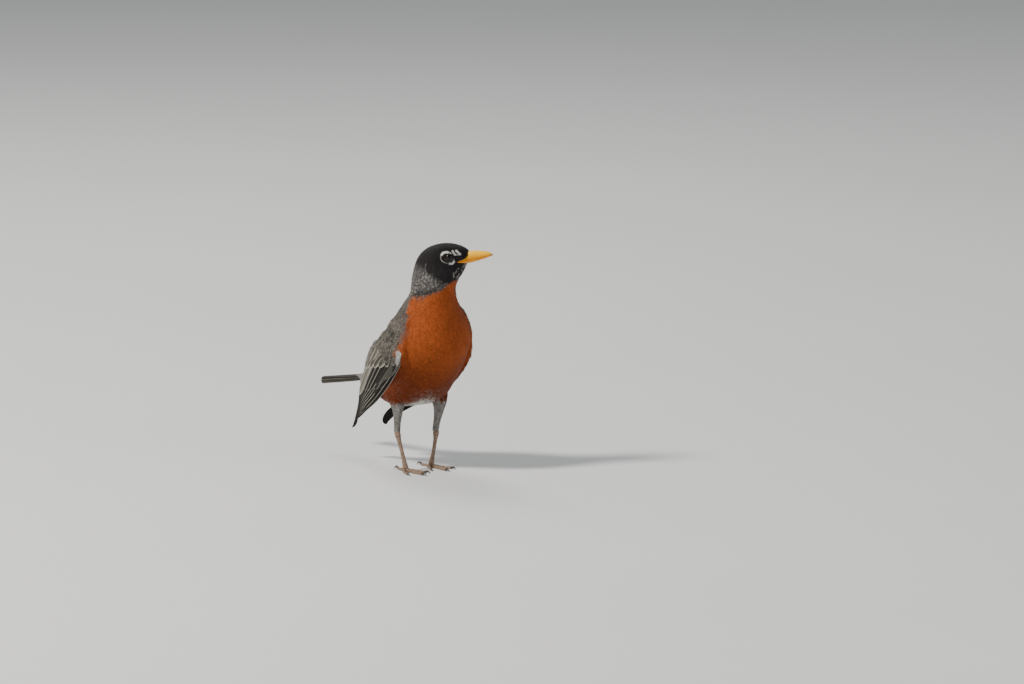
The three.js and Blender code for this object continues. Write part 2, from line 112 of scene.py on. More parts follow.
# ---- small maths on arrays of points ----
def length_of(vectors):
    return np.sqrt(np.sum(vectors * vectors, axis=-1, keepdims=True))


def unit(vectors):
    return vectors / np.maximum(length_of(vectors), 1e-9)


def dot(a, b):
    return np.sum(a * b, axis=-1, keepdims=True)


def soft_step(low, high, value):
    """0 below low and 1 above high, with a smooth change between."""
    share = np.clip((value - low) / (high - low), 0, 1)
    return share * share * (3 - 2 * share)


def smooth_rows(table, place):
    """A Catmull-Rom curve through a table's rows, at fractional row numbers."""
    last = len(table) - 1
    index = np.clip(np.floor(place), 0, last - 1).astype(int)
    f = (place - index)[..., None]
    a, b, c, d = (table[np.clip(index + step, 0, last)] for step in (-1, 0, 1, 2))
    bend = 2 * a - 5 * b + 4 * c - d
    twist = 3 * b - a - 3 * c + d
    return 0.5 * (2 * b + (c - a) * f + bend * f ** 2 + twist * f ** 3)


def profile(values, share):
    """A smooth curve along 0 to 1 through evenly spaced values."""
    return smooth_rows(np.array(values, float)[:, None], share * (len(values) - 1))[..., 0]


def lattice(u, v, rows, columns, ring=False):
    """Evenly spaced places over two ranges. A ring's columns stop one short of the range's end."""
    across = np.linspace(*v, columns + 1)[:-1] if ring else np.linspace(*v, columns)
    return np.meshgrid(np.linspace(*u, rows), across, indexing="ij")


def search_tree(points):
    """A tree that finds the nearest of some points."""
    tree = KDTree(len(points))
    for index, point in enumerate(points):
        tree.insert(point, index)
    tree.balance()
    return tree


def turned(points, angle, pivot_x=0.0):
    """Points turned about an upright axis at X = pivot_x, then moved there."""
    x, y, z = np.moveaxis(np.asarray(points, float), -1, 0)
    cos, sin = np.cos(angle), np.sin(angle)
    return np.stack([pivot_x + x * cos - y * sin, x * sin + y * cos, z], axis=-1)


def from_head(points):
    """From the head's frame, which looks along X, to the bird's."""
    return turned(points, HEAD_TURN, NECK_X)


def in_head(points):
    """From the bird's frame to the head's."""
    return turned(points - np.array([NECK_X, 0, 0]), -HEAD_TURN)


# ---- the body's sheet ----
def body_points(place, angle):
    columns = smooth_rows(STATIONS, np.asarray(place, float))
    back_x, back_z, belly_x, belly_z, wide, high, full = np.moveaxis(columns, -1, 0)
    cos, sin = np.cos(angle), np.sin(angle)
    power = np.where(cos < 0, 2 + full, 2)
    swell = (np.abs(cos) ** power + np.abs(sin) ** power) ** (-1 / power)
    depth, across = cos * swell, sin * swell
    forward = (back_x + belly_x + depth * (back_x - belly_x)) / 2
    up = (back_z + belly_z + depth * (back_z - belly_z)) / 2
    side = wide * across * (1 + high * depth)
    share = smooth_rows(NECK_TURN, np.clip(place - UPPER_BREAST, 0, len(NECK_TURN) - 1))[..., 0]
    return turned(np.stack([forward, side, up], axis=-1), HEAD_TURN * share, NECK_X)


class Sheet:
    """A surface kept as a lattice of points. Feathers lie along u, and v runs across them.

    lie is 1 where they point toward greater u, and -1 where they point toward lesser. The normals lead away
    from the point inside, or from the middle of the surface.
    """

    def __init__(self, surface, u, v, lie=1, wraps=False, inside=None):
        self.u, self.v, self.lie, self.wraps = u, v, lie, wraps
        points = surface(*np.meshgrid(u, v, indexing="ij"))
        along = np.gradient(points, u, axis=0)
        across = np.gradient(points, v, axis=1)
        normal = unit(np.cross(along, across))
        core = points.mean((0, 1)) if inside is None else np.array(inside)
        if np.sum(normal * (points - core)) < 0:
            normal = -normal
        self.table = np.concatenate([points, along, across, normal], axis=-1)

    def look(self, u, v):
        """Points, both tangents and normals. Past its ends the surface runs on straight."""
        if self.wraps:
            v = (v + math.pi) % (2 * math.pi) - math.pi
        held_u = np.clip(u, self.u[0], self.u[-1])
        held_v = np.clip(v, self.v[0], self.v[-1])
        row = (held_u - self.u[0]) / (self.u[1] - self.u[0])
        column = (held_v - self.v[0]) / (self.v[1] - self.v[0])
        i = np.minimum(row.astype(int), len(self.u) - 2)
        j = np.minimum(column.astype(int), len(self.v) - 2)
        f, g = (row - i)[..., None], (column - j)[..., None]
        t = self.table
        near = t[i, j] * (1 - f) + t[i + 1, j] * f
        far = t[i, j + 1] * (1 - f) + t[i + 1, j + 1] * f
        points, along, across, normal = np.split(near * (1 - g) + far * g, 4, axis=-1)
        points = points + (u - held_u)[..., None] * along + (v - held_v)[..., None] * across
        return points, along, across, unit(normal)

    def step(self, along, across, move):
        """How far a tangent vector reaches in u and v."""
        aa, bb, ab = dot(along, along), dot(across, across), dot(along, across)
        ma, mb = dot(move, along), dot(move, across)
        whole = np.maximum(aa * bb - ab * ab, 1e-6 * aa * bb + 1e-12)
        return ((bb * ma - ab * mb) / whole)[..., 0], ((aa * mb - ab * ma) / whole)[..., 0]


BODY = Sheet(body_points, np.linspace(0, BILL_BASE, 421), np.linspace(*AROUND, 361), -1, True)


# ---- the folded wing's sheet ----
WING_BACK_EDGE = [(11, 18.5, 129), (-7.5, 18.5, 117), (-31.3, 16, 96.5), (-47.8, 13.5, 79.5),
                  (-60.5, 12.5, 65.5), (-62.2, 14, 50), (-66, 15, 35.4), (-71, 15.2, 25)]
WING_FRONT_EDGE = [(26.5, 26.8, 119.6), (27, 31.2, 104), (24.5, 31.4, 88.5), (9.7, 31.4, 72.8),
                   (-17.8, 27.6, 53.6), (-46.8, 21.4, 39.6), (-61.4, 18, 32), (-70.4, 16, 24.2)]
WING_BULGE = [4, 7.6, 9.6, 10, 9, 6.2, 3.6, 1.8, 0.8]
WING_LAY = 1.5                   # the least that the wing stands off the flank
WING_TUCK = 0.3                  # the share of it lost at the front edge
CURVE_STEPS = 400                # steps by which a curve's length is measured
HALVINGS = 24                    # steps by which a point's station is closed in on


def threaded(points, share):
    """Points at shares of the length of a centripetal Catmull-Rom curve."""
    points = np.array(points, float)
    ends = np.array([2 * points[0] - points[1], *points, 2 * points[-1] - points[-2]])

    def at(place):
        index = np.clip(np.floor(place), 0, len(points) - 2).astype(int)
        f = (place - index)[..., None]
        p0, p1, p2, p3 = (ends[index + i] for i in range(4))
        d0, d1, d2 = (np.sqrt(length_of(b - a)) for a, b in ((p0, p1), (p1, p2), (p2, p3)))
        start = ((p1 - p0) / d0 - (p2 - p0) / (d0 + d1) + (p2 - p1) / d1) * d1
        end = ((p2 - p1) / d1 - (p3 - p1) / (d1 + d2) + (p3 - p2) / d2) * d1
        bend = 3 * (p2 - p1) - 2 * start - end
        twist = 2 * (p1 - p2) + start + end
        return p1 + start * f + bend * f ** 2 + twist * f ** 3

    places = np.linspace(0, len(points) - 1, CURVE_STEPS)
    lengths = np.concatenate([[0], np.cumsum(length_of(np.diff(at(places), axis=0))[:, 0])])
    return at(np.interp(share, lengths / lengths[-1], places))


def middle_plane(place):
    """The columns of STATIONS at places on the body, with X from the bird's origin."""
    return np.moveaxis(smooth_rows(STATIONS, place) + [NECK_X, 0, NECK_X, 0, 0, 0, 0], -1, 0)


def flank_width(x, z, grown):
    """Half the trunk's width at a point of its middle plane, with the trunk grown all round."""
    low, high = np.zeros_like(x), np.full_like(x, NECK_FOOT)
    for _ in range(HALVINGS):
        half = (low + high) / 2
        back_x, back_z, belly_x, belly_z = middle_plane(half)[:4]
        inside = (belly_x - back_x) * (z - back_z) - (belly_z - back_z) * (x - back_x) > 0
        low, high = np.where(inside, half, low), np.where(inside, high, half)
    back_x, back_z, belly_x, belly_z, wide, bulge, full = middle_plane(low)
    run, rise = back_x - belly_x, back_z - belly_z
    half = np.hypot(run, rise) / 2
    toward = (x - (back_x + belly_x) / 2) * run + (z - (back_z + belly_z) / 2) * rise
    depth = toward / 2 / half / (half + grown)
    power = np.where(depth < 0, 2 + full, 2)
    across = np.maximum(1 - np.abs(depth) ** power, 0) ** (1 / power)
    return (wide + grown) * across * (1 + bulge * depth)


def wing_points(along, across, side):
    back, front = threaded(WING_BACK_EDGE, along), threaded(WING_FRONT_EDGE, along)
    x, y, z = np.moveaxis(back + (front - back) * across[..., None], -1, 0)
    y = y + profile(WING_BULGE, along) * 4 * across * (1 - across)
    y = np.maximum(y, flank_width(x, z, WING_LAY * (1 - WING_TUCK * across ** 4)))
    return np.stack([x, y * side, z], axis=-1)


def wing_sheet(side):
    return Sheet(lambda u, v: wing_points(u, v, side), np.linspace(0, 1, 201), np.linspace(0, 1, 61),
                 inside=(-20, 0, 85))


WINGS = {name: wing_sheet(side) for name, side in SIDES}


def off_wing(points, along, across):
    """How far points lie from the nearest of some places on their own side's wing."""
    cover = search_tree(WINGS["left"].look(along, across)[0].reshape(-1, 3))
    return np.array([cover.find((x, abs(y), z))[2] for x, y, z in points])


# ---- the thighs' sheets ----
THIGH_PATHS = {
    "left": [(-2, 17, 62), (2.4, 18, 52), (-2.1, 17.7, 30.3)],
    "right": [(-6, -17, 62), (-0.6, -18, 50.5), (-2.0, -17.7, 32.3)],
}
THIGH_RADII = [9.8, 8.4, 6, 4.3, 3.3, 2.7, 2.5]


def tube_points(path, radii, along, angle, up=(1, 0, 0), stretch=1.0):
    """A round limb along a curve. Angle 0 points across it and a quarter turn toward up."""
    step = 0.005
    centre = threaded(path, along)
    tangent = unit(threaded(path, np.minimum(along + step, 1)) - threaded(path, np.maximum(along - step, 0)))
    across = unit(np.cross(np.array(up, float), tangent))
    lift = np.cross(tangent, across)
    radius = profile(radii, along)[..., None]
    return centre + radius * (np.cos(angle)[..., None] * across + stretch * np.sin(angle)[..., None] * lift)


def thigh_sheet(path):
    return Sheet(lambda u, v: tube_points(path, THIGH_RADII, u, v), np.linspace(0, 1, 61),
                 np.linspace(*AROUND, 61), 1, True)


THIGH_SHEETS = {name: thigh_sheet(path) for name, path in THIGH_PATHS.items()}


# ---- meshes ----
BAKE_MAP = "OFBake"
TUFT_PATCH = 0.003               # how much of the map each feather of the coat takes
LOFT_ENDS = [[0, 0, 0], [1, 0, 0]]    # an attribute's values at the middles of a closed loft's two ends


def frame_shift():
    """From the bird's frame to the CAD frame, in metres, by where the CAD's eyes are."""
    corners = [corner for name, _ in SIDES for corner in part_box(f"eye_{name}")]
    middle = np.mean([list(corner) for corner in corners], axis=0)
    designed = from_head(np.array([[EYE[0], side * EYE[1], EYE[2]] for _, side in SIDES])).mean(0) * MM
    shift = middle - designed
    return np.array([shift[0], shift[1], 0])


SHIFT = frame_shift()


def add_vectors(mesh, key, values):
    """An attribute of three numbers for each vertex."""
    layer = mesh.attributes.new(key, "FLOAT_VECTOR", "POINT")
    layer.data.foreach_set("vector", np.asarray(values, np.float32).ravel())


def add_map(mesh, places, corners):
    """The bake's map, from each vertex's place on it and each corner's vertex."""
    layer = mesh.uv_layers.new(name=BAKE_MAP)
    layer.data.foreach_set("uv", np.asarray(places, np.float32)[corners].ravel())


def mesh_object(name, points, faces, finish, attributes=(), places=None, smooth=True):
    """A mesh from points in the bird's frame and faces that all have the same number of corners."""
    mesh = bpy.data.meshes.new(name)
    points = np.asarray(points, float).reshape(-1, 3) * MM + SHIFT
    faces = np.asarray(faces, np.int32)
    mesh.vertices.add(len(points))
    mesh.vertices.foreach_set("co", points.astype(np.float32).ravel())
    mesh.loops.add(faces.size)
    mesh.loops.foreach_set("vertex_index", faces.ravel())
    mesh.polygons.add(len(faces))
    mesh.polygons.foreach_set("loop_start", np.arange(0, faces.size, faces.shape[1], dtype=np.int32))
    mesh.update(calc_edges=True)
    for key, values in attributes:
        add_vectors(mesh, key, values)
    if places is not None:
        add_map(mesh, places, faces.ravel())
    if smooth:
        mesh.shade_smooth()
    mesh.materials.append(finish)
    piece = bpy.data.objects.new(name, mesh)
    bpy.context.scene.collection.objects.link(piece)
    return piece


def settle(piece, slot, *nodes):
    """The piece rides on the bird and may stand in for CAD nodes, whose parts it hides. The slot is not
    used.
    """
    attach(piece, "root")
    if nodes:
        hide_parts(*nodes)
    return piece


def strip_faces(rows, columns, wraps=False):
    """Quads between the rows of a lattice, with its last column joined to its first if it wraps."""
    i, j = np.meshgrid(np.arange(rows - 1), np.arange(columns if wraps else columns - 1), indexing="ij")
    a = i * columns + j
    b = i * columns + (j + 1) % columns
    return np.stack([a, b, b + columns, a + columns], axis=-1).reshape(-1, 4)


def halved(quads):
    """Each quad as two triangles."""
    return np.concatenate([quads[:, [0, 1, 2]], quads[:, [0, 2, 3]]])


# ---- materials ----
class Wire:
    """A node's output, which takes part in sums as a number does."""

    def __init__(self, finish, socket):
        self.finish, self.socket = finish, socket

    def math(self, operation, *values):
        return self.finish.add("Math", {"operation": operation}, dict(enumerate(values)))

    def __add__(self, other):
        return self.math("ADD", self, other)

    def __sub__(self, other):
        return self.math("SUBTRACT", self, other)

    def __rsub__(self, other):
        return self.math("SUBTRACT", other, self)

    def __mul__(self, other):
        return self.math("MULTIPLY", self, other)

    def __pow__(self, other):
        return self.math("POWER", self, other)

    __radd__ = __add__
    __rmul__ = __mul__

    def size(self):
        return self.math("ABSOLUTE", self)

    def wave(self):
        return self.math("SINE", self)

    def most(self, other):
        return self.math("MAXIMUM", self, other)

    def step(self, low, high):
        """0 below low and 1 above high, with a smooth change between."""
        return self.finish.add("MapRange", {"interpolation_type": "SMOOTHSTEP"},
                               {"Value": self, "From Min": low, "From Max": high})


class Finish:
    """A material whose nodes are added one at a time."""

    def __init__(self, name):
        self.material = bpy.data.materials.new(name)
        self.material.use_nodes = True
        self.tree = self.material.node_tree
        self.tree.nodes.clear()

    def add(self, kind, settings=None, sockets=None, output=0):
        """A node of a kind, with its settings made first and then its sockets' values or links."""
        node = self.tree.nodes.new("ShaderNode" + kind)
        for key, value in (settings or {}).items():
            setattr(node, key, value)
        for key, value in (sockets or {}).items():
            if isinstance(value, Wire):
                self.tree.links.new(value.socket, node.inputs[key])
            else:
                node.inputs[key].default_value = value
        return Wire(self, node.outputs[output]) if node.outputs else None

    def attribute(self, name):
        return self.add("Attribute", {"attribute_name": name}, output=1)

    def parts(self, vector):
        """The X, Y and Z of a vector."""
        node = self.tree.nodes.new("ShaderNodeSeparateXYZ")
        self.tree.links.new(vector.socket, node.inputs[0])
        return [Wire(self, socket) for socket in node.outputs]

    def stretched(self, name, scale):
        """An attribute's vector with each of its parts scaled."""
        return self.add("Mapping", sockets={"Vector": self.attribute(name), "Scale": scale})

    def noise(self, scale, detail, vector=None):
        """Noise over a vector, or over the piece in metres."""
        vector = vector or self.add("TexCoord", output=3)
        return self.add("TexNoise", sockets={"Vector": vector, "Scale": scale, "Detail": detail})

    def mix(self, share, a, b):
        """One colour or another by share. A colour given as three numbers is linear."""
        a, b = (value if isinstance(value, Wire) else (*value, 1) for value in (a, b))
        return self.add("Mix", {"data_type": "RGBA", "clamp_factor": True}, {0: share, 6: a, 7: b}, output=2)

    def scaled(self, colour, share):
        """A colour made lighter or darker."""
        return self.add("VectorMath", {"operation": "SCALE"}, {0: colour, "Scale": share})

    def bump(self, height, strength, distance):
        return self.add("Bump", sockets={"Height": height, "Strength": strength, "Distance": distance})

    def surface(self, **sockets):
        """Ends the material in one shader. Underscores in the names stand for spaces."""
        named = {key.replace("_", " "): value for key, value in sockets.items()}
        shader = self.add("BsdfPrincipled", sockets=named)
        self.add("OutputMaterial", sockets={"Surface": shader})
        return self.material


# ---- sizes and colours that a user would change ----
def colour_property(name, description, *linear):
    return FloatVectorProperty(name=name, description=description, subtype="COLOR", size=3, min=0, max=1,
                               default=linear)


def length_property(name, description, millimetres):
    return FloatProperty(name=name, description=description, unit="LENGTH", min=0, default=millimetres * MM)


class RobinSizes(bpy.types.PropertyGroup):
    """Sizes of the plumage."""
    coat_depth: length_property("Coat depth", "How far the skin lies inside the plumage of the body", 2.4)
    face_depth: length_property("Face depth", "How far the skin lies inside the plumage of the head", 0.9)
    plume_spacing: length_property("Plume spacing", "Between neighbouring feathers of the body", 1.75)
    plume_length: length_property("Plume length", "Shown and hidden part of a feather of the breast", 9.0)
    face_spacing: length_property("Face spacing", "Between neighbouring feathers of the face", 0.95)
    face_length: length_property("Face feather length", "Shown and hidden part of a feather of the face",
                                 3.0)
    seed: IntProperty(name="Seed", description="Another number gives other small differences", default=7)


class RobinColours(bpy.types.PropertyGroup):
    """Colours of the plumage, bill, eyes and legs."""
    cap: colour_property("Cap", "Black of the crown, face and throat", 0.0145, 0.012, 0.0125)
    cap_edge: colour_property("Cap fringe", "Edges of the black feathers", 0.065, 0.055, 0.06)
    nape: colour_property("Nape", "Dark middles of the feathers of the nape", 0.07, 0.063, 0.06)
    nape_edge: colour_property("Nape fringe", "Grey edges of the feathers of the nape", 0.7, 0.65, 0.6)
    breast: colour_property("Breast", "Rust of the breast", 0.35, 0.07, 0.014)
    breast_edge: colour_property("Breast fringe", "Lighter edges of the breast feathers", 0.57, 0.15, 0.03)
    # Deep rust: partly the lower breast's own darker rust, partly painted shade of the lower breast.
    breast_deep_and_shade: colour_property("Deep rust", "Rust of the lower breast", 0.12, 0.02, 0.0025)
    belly: colour_property("Belly", "White of the belly, chin and vent", 0.62, 0.6, 0.56)
    belly_grey: colour_property("Vent grey", "Dusky middles of the feathers of the vent", 0.2, 0.18, 0.165)
    back: colour_property("Back", "Middles of the feathers of the back", 0.105, 0.09, 0.078)
    back_edge: colour_property("Back fringe", "Edges of the feathers of the back", 0.34, 0.31, 0.26)
    rump: colour_property("Rump", "Grey of the rump", 0.17, 0.16, 0.152)
    rump_edge: colour_property("Rump fringe", "Edges of the feathers of the rump", 0.31, 0.3, 0.285)
    quill: colour_property("Quill", "Dark of the flight feathers", 0.032, 0.028, 0.026)
    quill_edge: colour_property("Quill edge", "Pale outer edges of the flight feathers", 0.36, 0.34, 0.29)
    tertial: colour_property("Tertial", "Grey-brown of the tertials and coverts", 0.16, 0.145, 0.12)
    bill: colour_property("Bill", "Yellow of the bill", 0.97, 0.53, 0.012)
    bill_warm: colour_property("Bill base", "Orange of the mouth's edge and lower bill", 0.8, 0.29, 0.001)
    bill_tip: colour_property("Bill tip", "Dusky tip of the bill", 0.12, 0.07, 0.03)
    iris: colour_property("Iris", "Brown ring round the pupil", 0.022, 0.009, 0.005)
    leg: colour_property("Leg", "Brown of the tarsus and toes", 0.25, 0.165, 0.11)
    claw: colour_property("Claw", "Dark horn of the claws", 0.03, 0.022, 0.018)


def sizes(name):
    """A size in the millimetres that the shapes are worked out in."""
    return getattr(bpy.context.scene.robin_sizes, name) / MM


def colour(name):
    return np.array(getattr(bpy.context.scene.robin_colours, name)[:])


def chance(offset):
    return np.random.default_rng(bpy.context.scene.robin_sizes.seed * 1000 + offset)


# ---- markings: one function for the skin and the coat ----
def blended(a, b, share):
    return a + (b - a) * share[..., None]


# White marks round the eye and behind the ear, as strokes in millimetres forward of and above the eye, each
# with its width and how white it is.
EYE_MARKS = (
    ([(-5.1, 2.0), (-3.9, 3.7), (-1.2, 4.3), (1.4, 3.1)], 1.7, 1.0),
    ([(-5.9, 0.6), (-5.5, -1.9), (-3.8, -3.5), (-0.8, -4.5)], 0.3, 0.75),
    ([(0.8, -4.9), (2.7, -5.1), (3.9, -3.6)], 1.5, 1.0),
    ([(3.9, -3.6), (3.9, -1.5)], 0.4, 0.7),
    ([(3.2, 5.1), (5.0, 2.1)], 1.3, 1.0),
    ([(5.8, 5.3), (8.8, 2.5)], 1.35, 1.0),
    ([(4.6, 2.0), (8.5, 2.0)], 0.5, 0.9),
    ([(-17.3, -5.0), (-17.8, -9.5), (-16.0, -13.5), (-12.5, -16.0)], 0.3, 0.3),
)
# The borders of the colours as curves. Each gives a place on the body by the turn from the back in degrees,
# but for RUST_SIDE, which gives the turn by the place.
HOOD_EDGE = ([0, 56, 84, 104, 132, 146, 153, 180], [13.3, 13.1, 12.5, 12.1, 11.6, 11.6, 12.0, 12.1])
RUST_TOP = ([60, 72, 97, 112, 120, 136, 146, 153, 180],
            [8.6, 9.1, 9.45, 9.8, 10.1, 10.75, 11.35, 12.0, 12.1])
RUST_SIDE = ([2.5, 3.3, 4, 5, 5.6, 6.1, 6.6, 7.4, 8.05, 8.3, 8.75, 9.3],
             [100, 92, 76, 70, 84, 100, 107, 107, 101, 86, 74, 74])
RUST_LOW = ([60, 90, 110, 125, 140, 150, 165, 180], [3.6, 3.0, 2.8, 2.8, 3.2, 4.0, 4.55, 4.7])


def stroke_share(x, z, points, width):
    """1 on a stroke through points and 0 off it."""
    nearest = np.full(x.shape, 1e9)
    for (x0, z0), (x1, z1) in zip(points[:-1], points[1:]):
        dx, dz = x1 - x0, z1 - z0
        share = np.clip(((x - x0) * dx + (z - z0) * dz) / (dx * dx + dz * dz), 0, 1)
        nearest = np.minimum(nearest, np.hypot(x - x0 - share * dx, z - z0 - share * dz))
    return soft_step(0.5 * width + 0.2, 0.5 * width - 0.15, nearest)


def eye_marks(place, angle):
    """How white the face is at places on the body."""
    x, _, z = np.moveaxis(in_head(BODY.look(place, angle)[0]), -1, 0)
    x, z = x - EYE[0], z - EYE[2]
    white = np.zeros(x.shape)
    for points, width, strength in EYE_MARKS:
        white = np.maximum(white, stroke_share(x, z, points, width) * strength)
    return white * (place > NAPE - 1)


def markings(place, angle):
    """Colours of the middles and edges of the feathers at places on the body."""
    turn = np.degrees(np.abs((angle + math.pi) % (2 * math.pi) - math.pi))
    behind = soft_step(100, 60, turn)
    hood = soft_step(-0.16 - 0.5 * behind, 0.16 + 0.6 * behind, place - np.interp(turn, *HOOD_EDGE))
    below = soft_step(-0.14, 0.14, np.interp(turn, *RUST_TOP) - place)
    inside = soft_step(-5, 5, turn - np.interp(place, *RUST_SIDE))
    above = soft_step(-0.35, 0.35, place - np.interp(turn, *RUST_LOW))
    under = soft_step(80, 100, turn) * (1 - above)
    rump = soft_step(6.4, 0.8, place) * (1 - under)
    chin = soft_step(146, 162, turn) * soft_step(14.2, 15.2, place)
    nape = soft_step(100, 40, turn) * soft_step(15.6, 13.4, place)
    vent = soft_step(3.2, 1.5, place)
    # Toward the lower breast the rust darkens: partly its own colour, partly painted shade.
    deep = soft_step(7.6, 5.0, place)

    # The back and neck, with a dark line of painted shade where the neck's feathers overhang the rust, and a
    # pale streak where the neck meets the rust.
    neck = soft_step(8.6, 10.2, place)
    side_of_neck = soft_step(62, 82, turn) * soft_step(140, 120, turn)
    fold_shade = np.exp(-((place - np.interp(turn, *RUST_TOP) - 0.45) / 0.26) ** 2) * side_of_neck
    streak = np.exp(-((place - 9.75) / 0.22) ** 2) * side_of_neck
    middle = blended(blended(colour("back"), colour("nape"), neck), colour("cap"), fold_shade)
    edge = blended(blended(colour("back_edge"), colour("nape_edge"), neck), colour("cap"), fold_shade * 0.9)
    edge = edge * (1 + 0.35 * streak)[..., None]
    over = (
        # how much it shows, its middles and its edges
        (rump, colour("rump"), colour("rump_edge")),
        (under, blended(colour("belly"), colour("belly_grey"), vent), colour("belly")),
        (below * inside * above, blended(colour("breast"), colour("breast_deep_and_shade"), deep),
         blended(colour("breast_edge"), colour("breast") * 0.8, deep)),
        (hood, colour("cap"), blended(colour("cap_edge"), colour("nape"), nape)),
        (chin, colour("belly_grey"), colour("belly") * 0.8),
        (eye_marks(place, angle), colour("belly") * 1.2, colour("belly") * 1.3),
    )
    for share, middles, edges in over:
        middle, edge = blended(middle, middles, share), blended(edge, edges, share)
    return middle, edge


# ---- finishes ----
def plumage_finish(name, roughness=0.72, barb=26.0, fringe=(0.45, 1.0), streak=0.0):
    """Feathers coloured by their own attributes: a middle, an edge, and the place on the vane."""
    finish = Finish(name)
    across, along, chance_of = finish.parts(finish.attribute("vane"))
    rim = (across.size() ** 2).most(along.step(0.62, 1.0)).step(*fringe)
    strand = ((along * barb - across.size() * (0.35 * barb) + chance_of * 7) * math.tau).wave()
    grain = finish.noise(900, 3)
    middle, edge = finish.attribute("plume_middle"), finish.attribute("plume_edge")
    colour_of = finish.mix(rim, middle, edge)
    shaft = 1 - across.size().step(0.03, 0.1)
    centre = (1 - across.size().step(0.1, 0.6)) * (1 - along.step(0.7, 0.92))
    light = strand * 0.07 + chance_of * 0.3 + 0.73 + grain * 0.24 - shaft * 0.12 - centre * streak
    relief = strand * 0.4 + shaft * 0.8
    return finish.surface(
        Base_Color=finish.scaled(colour_of, light),
        Roughness=strand * 0.06 + roughness,
        Normal=finish.bump(relief, 0.25, 0.0001),
        Specular_IOR_Level=0.13,
        Sheen_Weight=0.05,
        Sheen_Roughness=0.5,
    )


def skin_finish():
    """Down and skin, in the coat's own colours."""
    finish = Finish("skin_down")
    grain = finish.noise(1600, 4)
    return finish.surface(
        Base_Color=finish.scaled(finish.attribute("plume_middle"), grain * 0.5 + 0.5),
        Roughness=grain * 0.2 + 0.75,
        Normal=finish.bump(grain, 0.6, 0.0003),
        Specular_IOR_Level=0.15,
    )


# ---- skin ----
def coat_depth(place):
    """The coat's depth thins toward the head and over the tail coverts."""
    body, face = sizes("coat_depth"), sizes("face_depth")
    head = face + (body - face) * soft_step(13.5, 9, place)
    return head * (0.45 + 0.55 * soft_step(0, 3, place))


SHOULDER = 0.13                  # how far along the wing the mantle lies over it
ARM = (SHOULDER + 0.03, 0.56)    # from where to where along the wing the skin has an arm


def wing_top(along):
    """Where the feathers of a wing begin from its back edge. The mantle hides the corner at the shoulder."""
    return 0.02 + 0.16 * soft_step(0.44, 0.26, along)


def skin_shells():
    """Rings of points of the body, of the two thighs and of the two arms."""
    place, angle = lattice((0, BILL_BASE), AROUND, 148, 96, True)
    points, _, _, normal = BODY.look(place, angle)
    shells = [points - normal * coat_depth(place)[..., None]]
    along, around = lattice((0, 1), AROUND, 41, 32, True)
    for sheet in THIGH_SHEETS.values():
        points, _, _, normal = sheet.look(along, around)
        shells.append(points - normal * (0.8 - 0.3 * along)[..., None])
    along, across = lattice(ARM, (0, 1), 51, 31)
    low = wing_top(along) + 0.03
    across = low + (0.93 - low) * across
    for sheet in WINGS.values():
        points, _, _, normal = sheet.look(along, across)
        shells.append(np.concatenate([points - normal * 1.1, (points - normal * 3.4)[:, ::-1]], axis=1))
    return shells


def closed_loft(rings):
    """Faces of a lattice of rings, each end closed by triangles to its middle."""
    rows, columns = rings.shape[:2]
    points = np.concatenate([rings.reshape(-1, 3), rings[:1].mean(1), rings[-1:].mean(1)])
    sides = halved(strip_faces(rows, columns, True))
    ring = np.arange(columns)
    after = (ring + 1) % columns
    first = np.stack([np.full(columns, rows * columns), after, ring], axis=-1)
    top = (rows - 1) * columns
    last = np.stack([np.full(columns, rows * columns + 1), top + ring, top + after], axis=-1)
    return points, np.concatenate([sides, first, last])


def joined(parts):
    """Several (points, faces) as one."""
    points, faces, start = [], [], 0
    for some_points, some_faces in parts:
        points.append(some_points)
        faces.append(some_faces + start)
        start += len(some_points)
    return np.concatenate(points), np.concatenate(faces)


SKIN_VOXEL = 0.9


def fuse(piece):
    """Overlapping shells become one even skin."""
    remesh = piece.modifiers.new("fuse", "REMESH")
    remesh.mode = "VOXEL"
    remesh.voxel_size = SKIN_VOXEL * MM
    even = piece.modifiers.new("even", "SMOOTH")
    even.iterations = 3
    graph = bpy.context.evaluated_depsgraph_get()
    mesh = bpy.data.meshes.new_from_object(piece.evaluated_get(graph))
    piece.modifiers.clear()
    old, piece.data = piece.data, mesh
    bpy.data.meshes.remove(old)
    return mesh


def make_skin():
    points, faces = joined([closed_loft(rings) for rings in skin_shells()])
    piece = mesh_object("skin", points, faces, skin_finish())
    mesh = fuse(piece)
    points = np.empty(len(mesh.vertices) * 3, np.float32)
    mesh.vertices.foreach_get("co", points)
    points = (points.reshape(-1, 3) - SHIFT) / MM
    body = BODY.table[::3, ::4, :3]
    tree = search_tree(body.reshape(-1, 3))
    nearest = np.array([tree.find(point)[1] for point in points])
    place = BODY.u[::3][nearest // body.shape[1]]
    angle = BODY.v[::4][nearest % body.shape[1]]
    middle, _ = markings(place, angle)
    near_arm = off_wing(points, *lattice(ARM, (0.1, 0.93), 40, 16))
    middle = blended(middle, colour("quill") * 1.5, soft_step(3.2, 2.2, near_arm))
    on_leg = soft_step(52, 48, points[:, 2])
    middle = blended(middle, colour("belly_grey") * 0.6, on_leg)
    add_vectors(mesh, "plume_middle", middle)
    corners = np.empty(len(mesh.loops), np.int32)
    mesh.loops.foreach_get("vertex_index", corners)
    add_map(mesh, np.stack([angle / math.tau + 0.5, place / BILL_BASE], axis=-1), corners)
    mesh.shade_smooth()
    settle(piece, "rust_feather", "head", "neck", "trunk", "rump", "thigh_left", "thigh_right")


# ---- plumes: feathers laid in numbers on a sheet ----
LOBES_FROM = 0.66                # where along a plume its tip parts into lobes
TIP_ROUNDING = 0.22              # how much shorter a plume is at its edges
COURSE_STEPS = 6                 # steps in which a plume's shaft follows its sheet
# Steps round two circles that fill a square evenly, and how far each seed shifts them.
EVEN_STEPS = ((0.7548776662, 0.317), (0.5698402910, 0.713))
NOWHERE = 1e6                    # a spacing so wide that no plume is laid


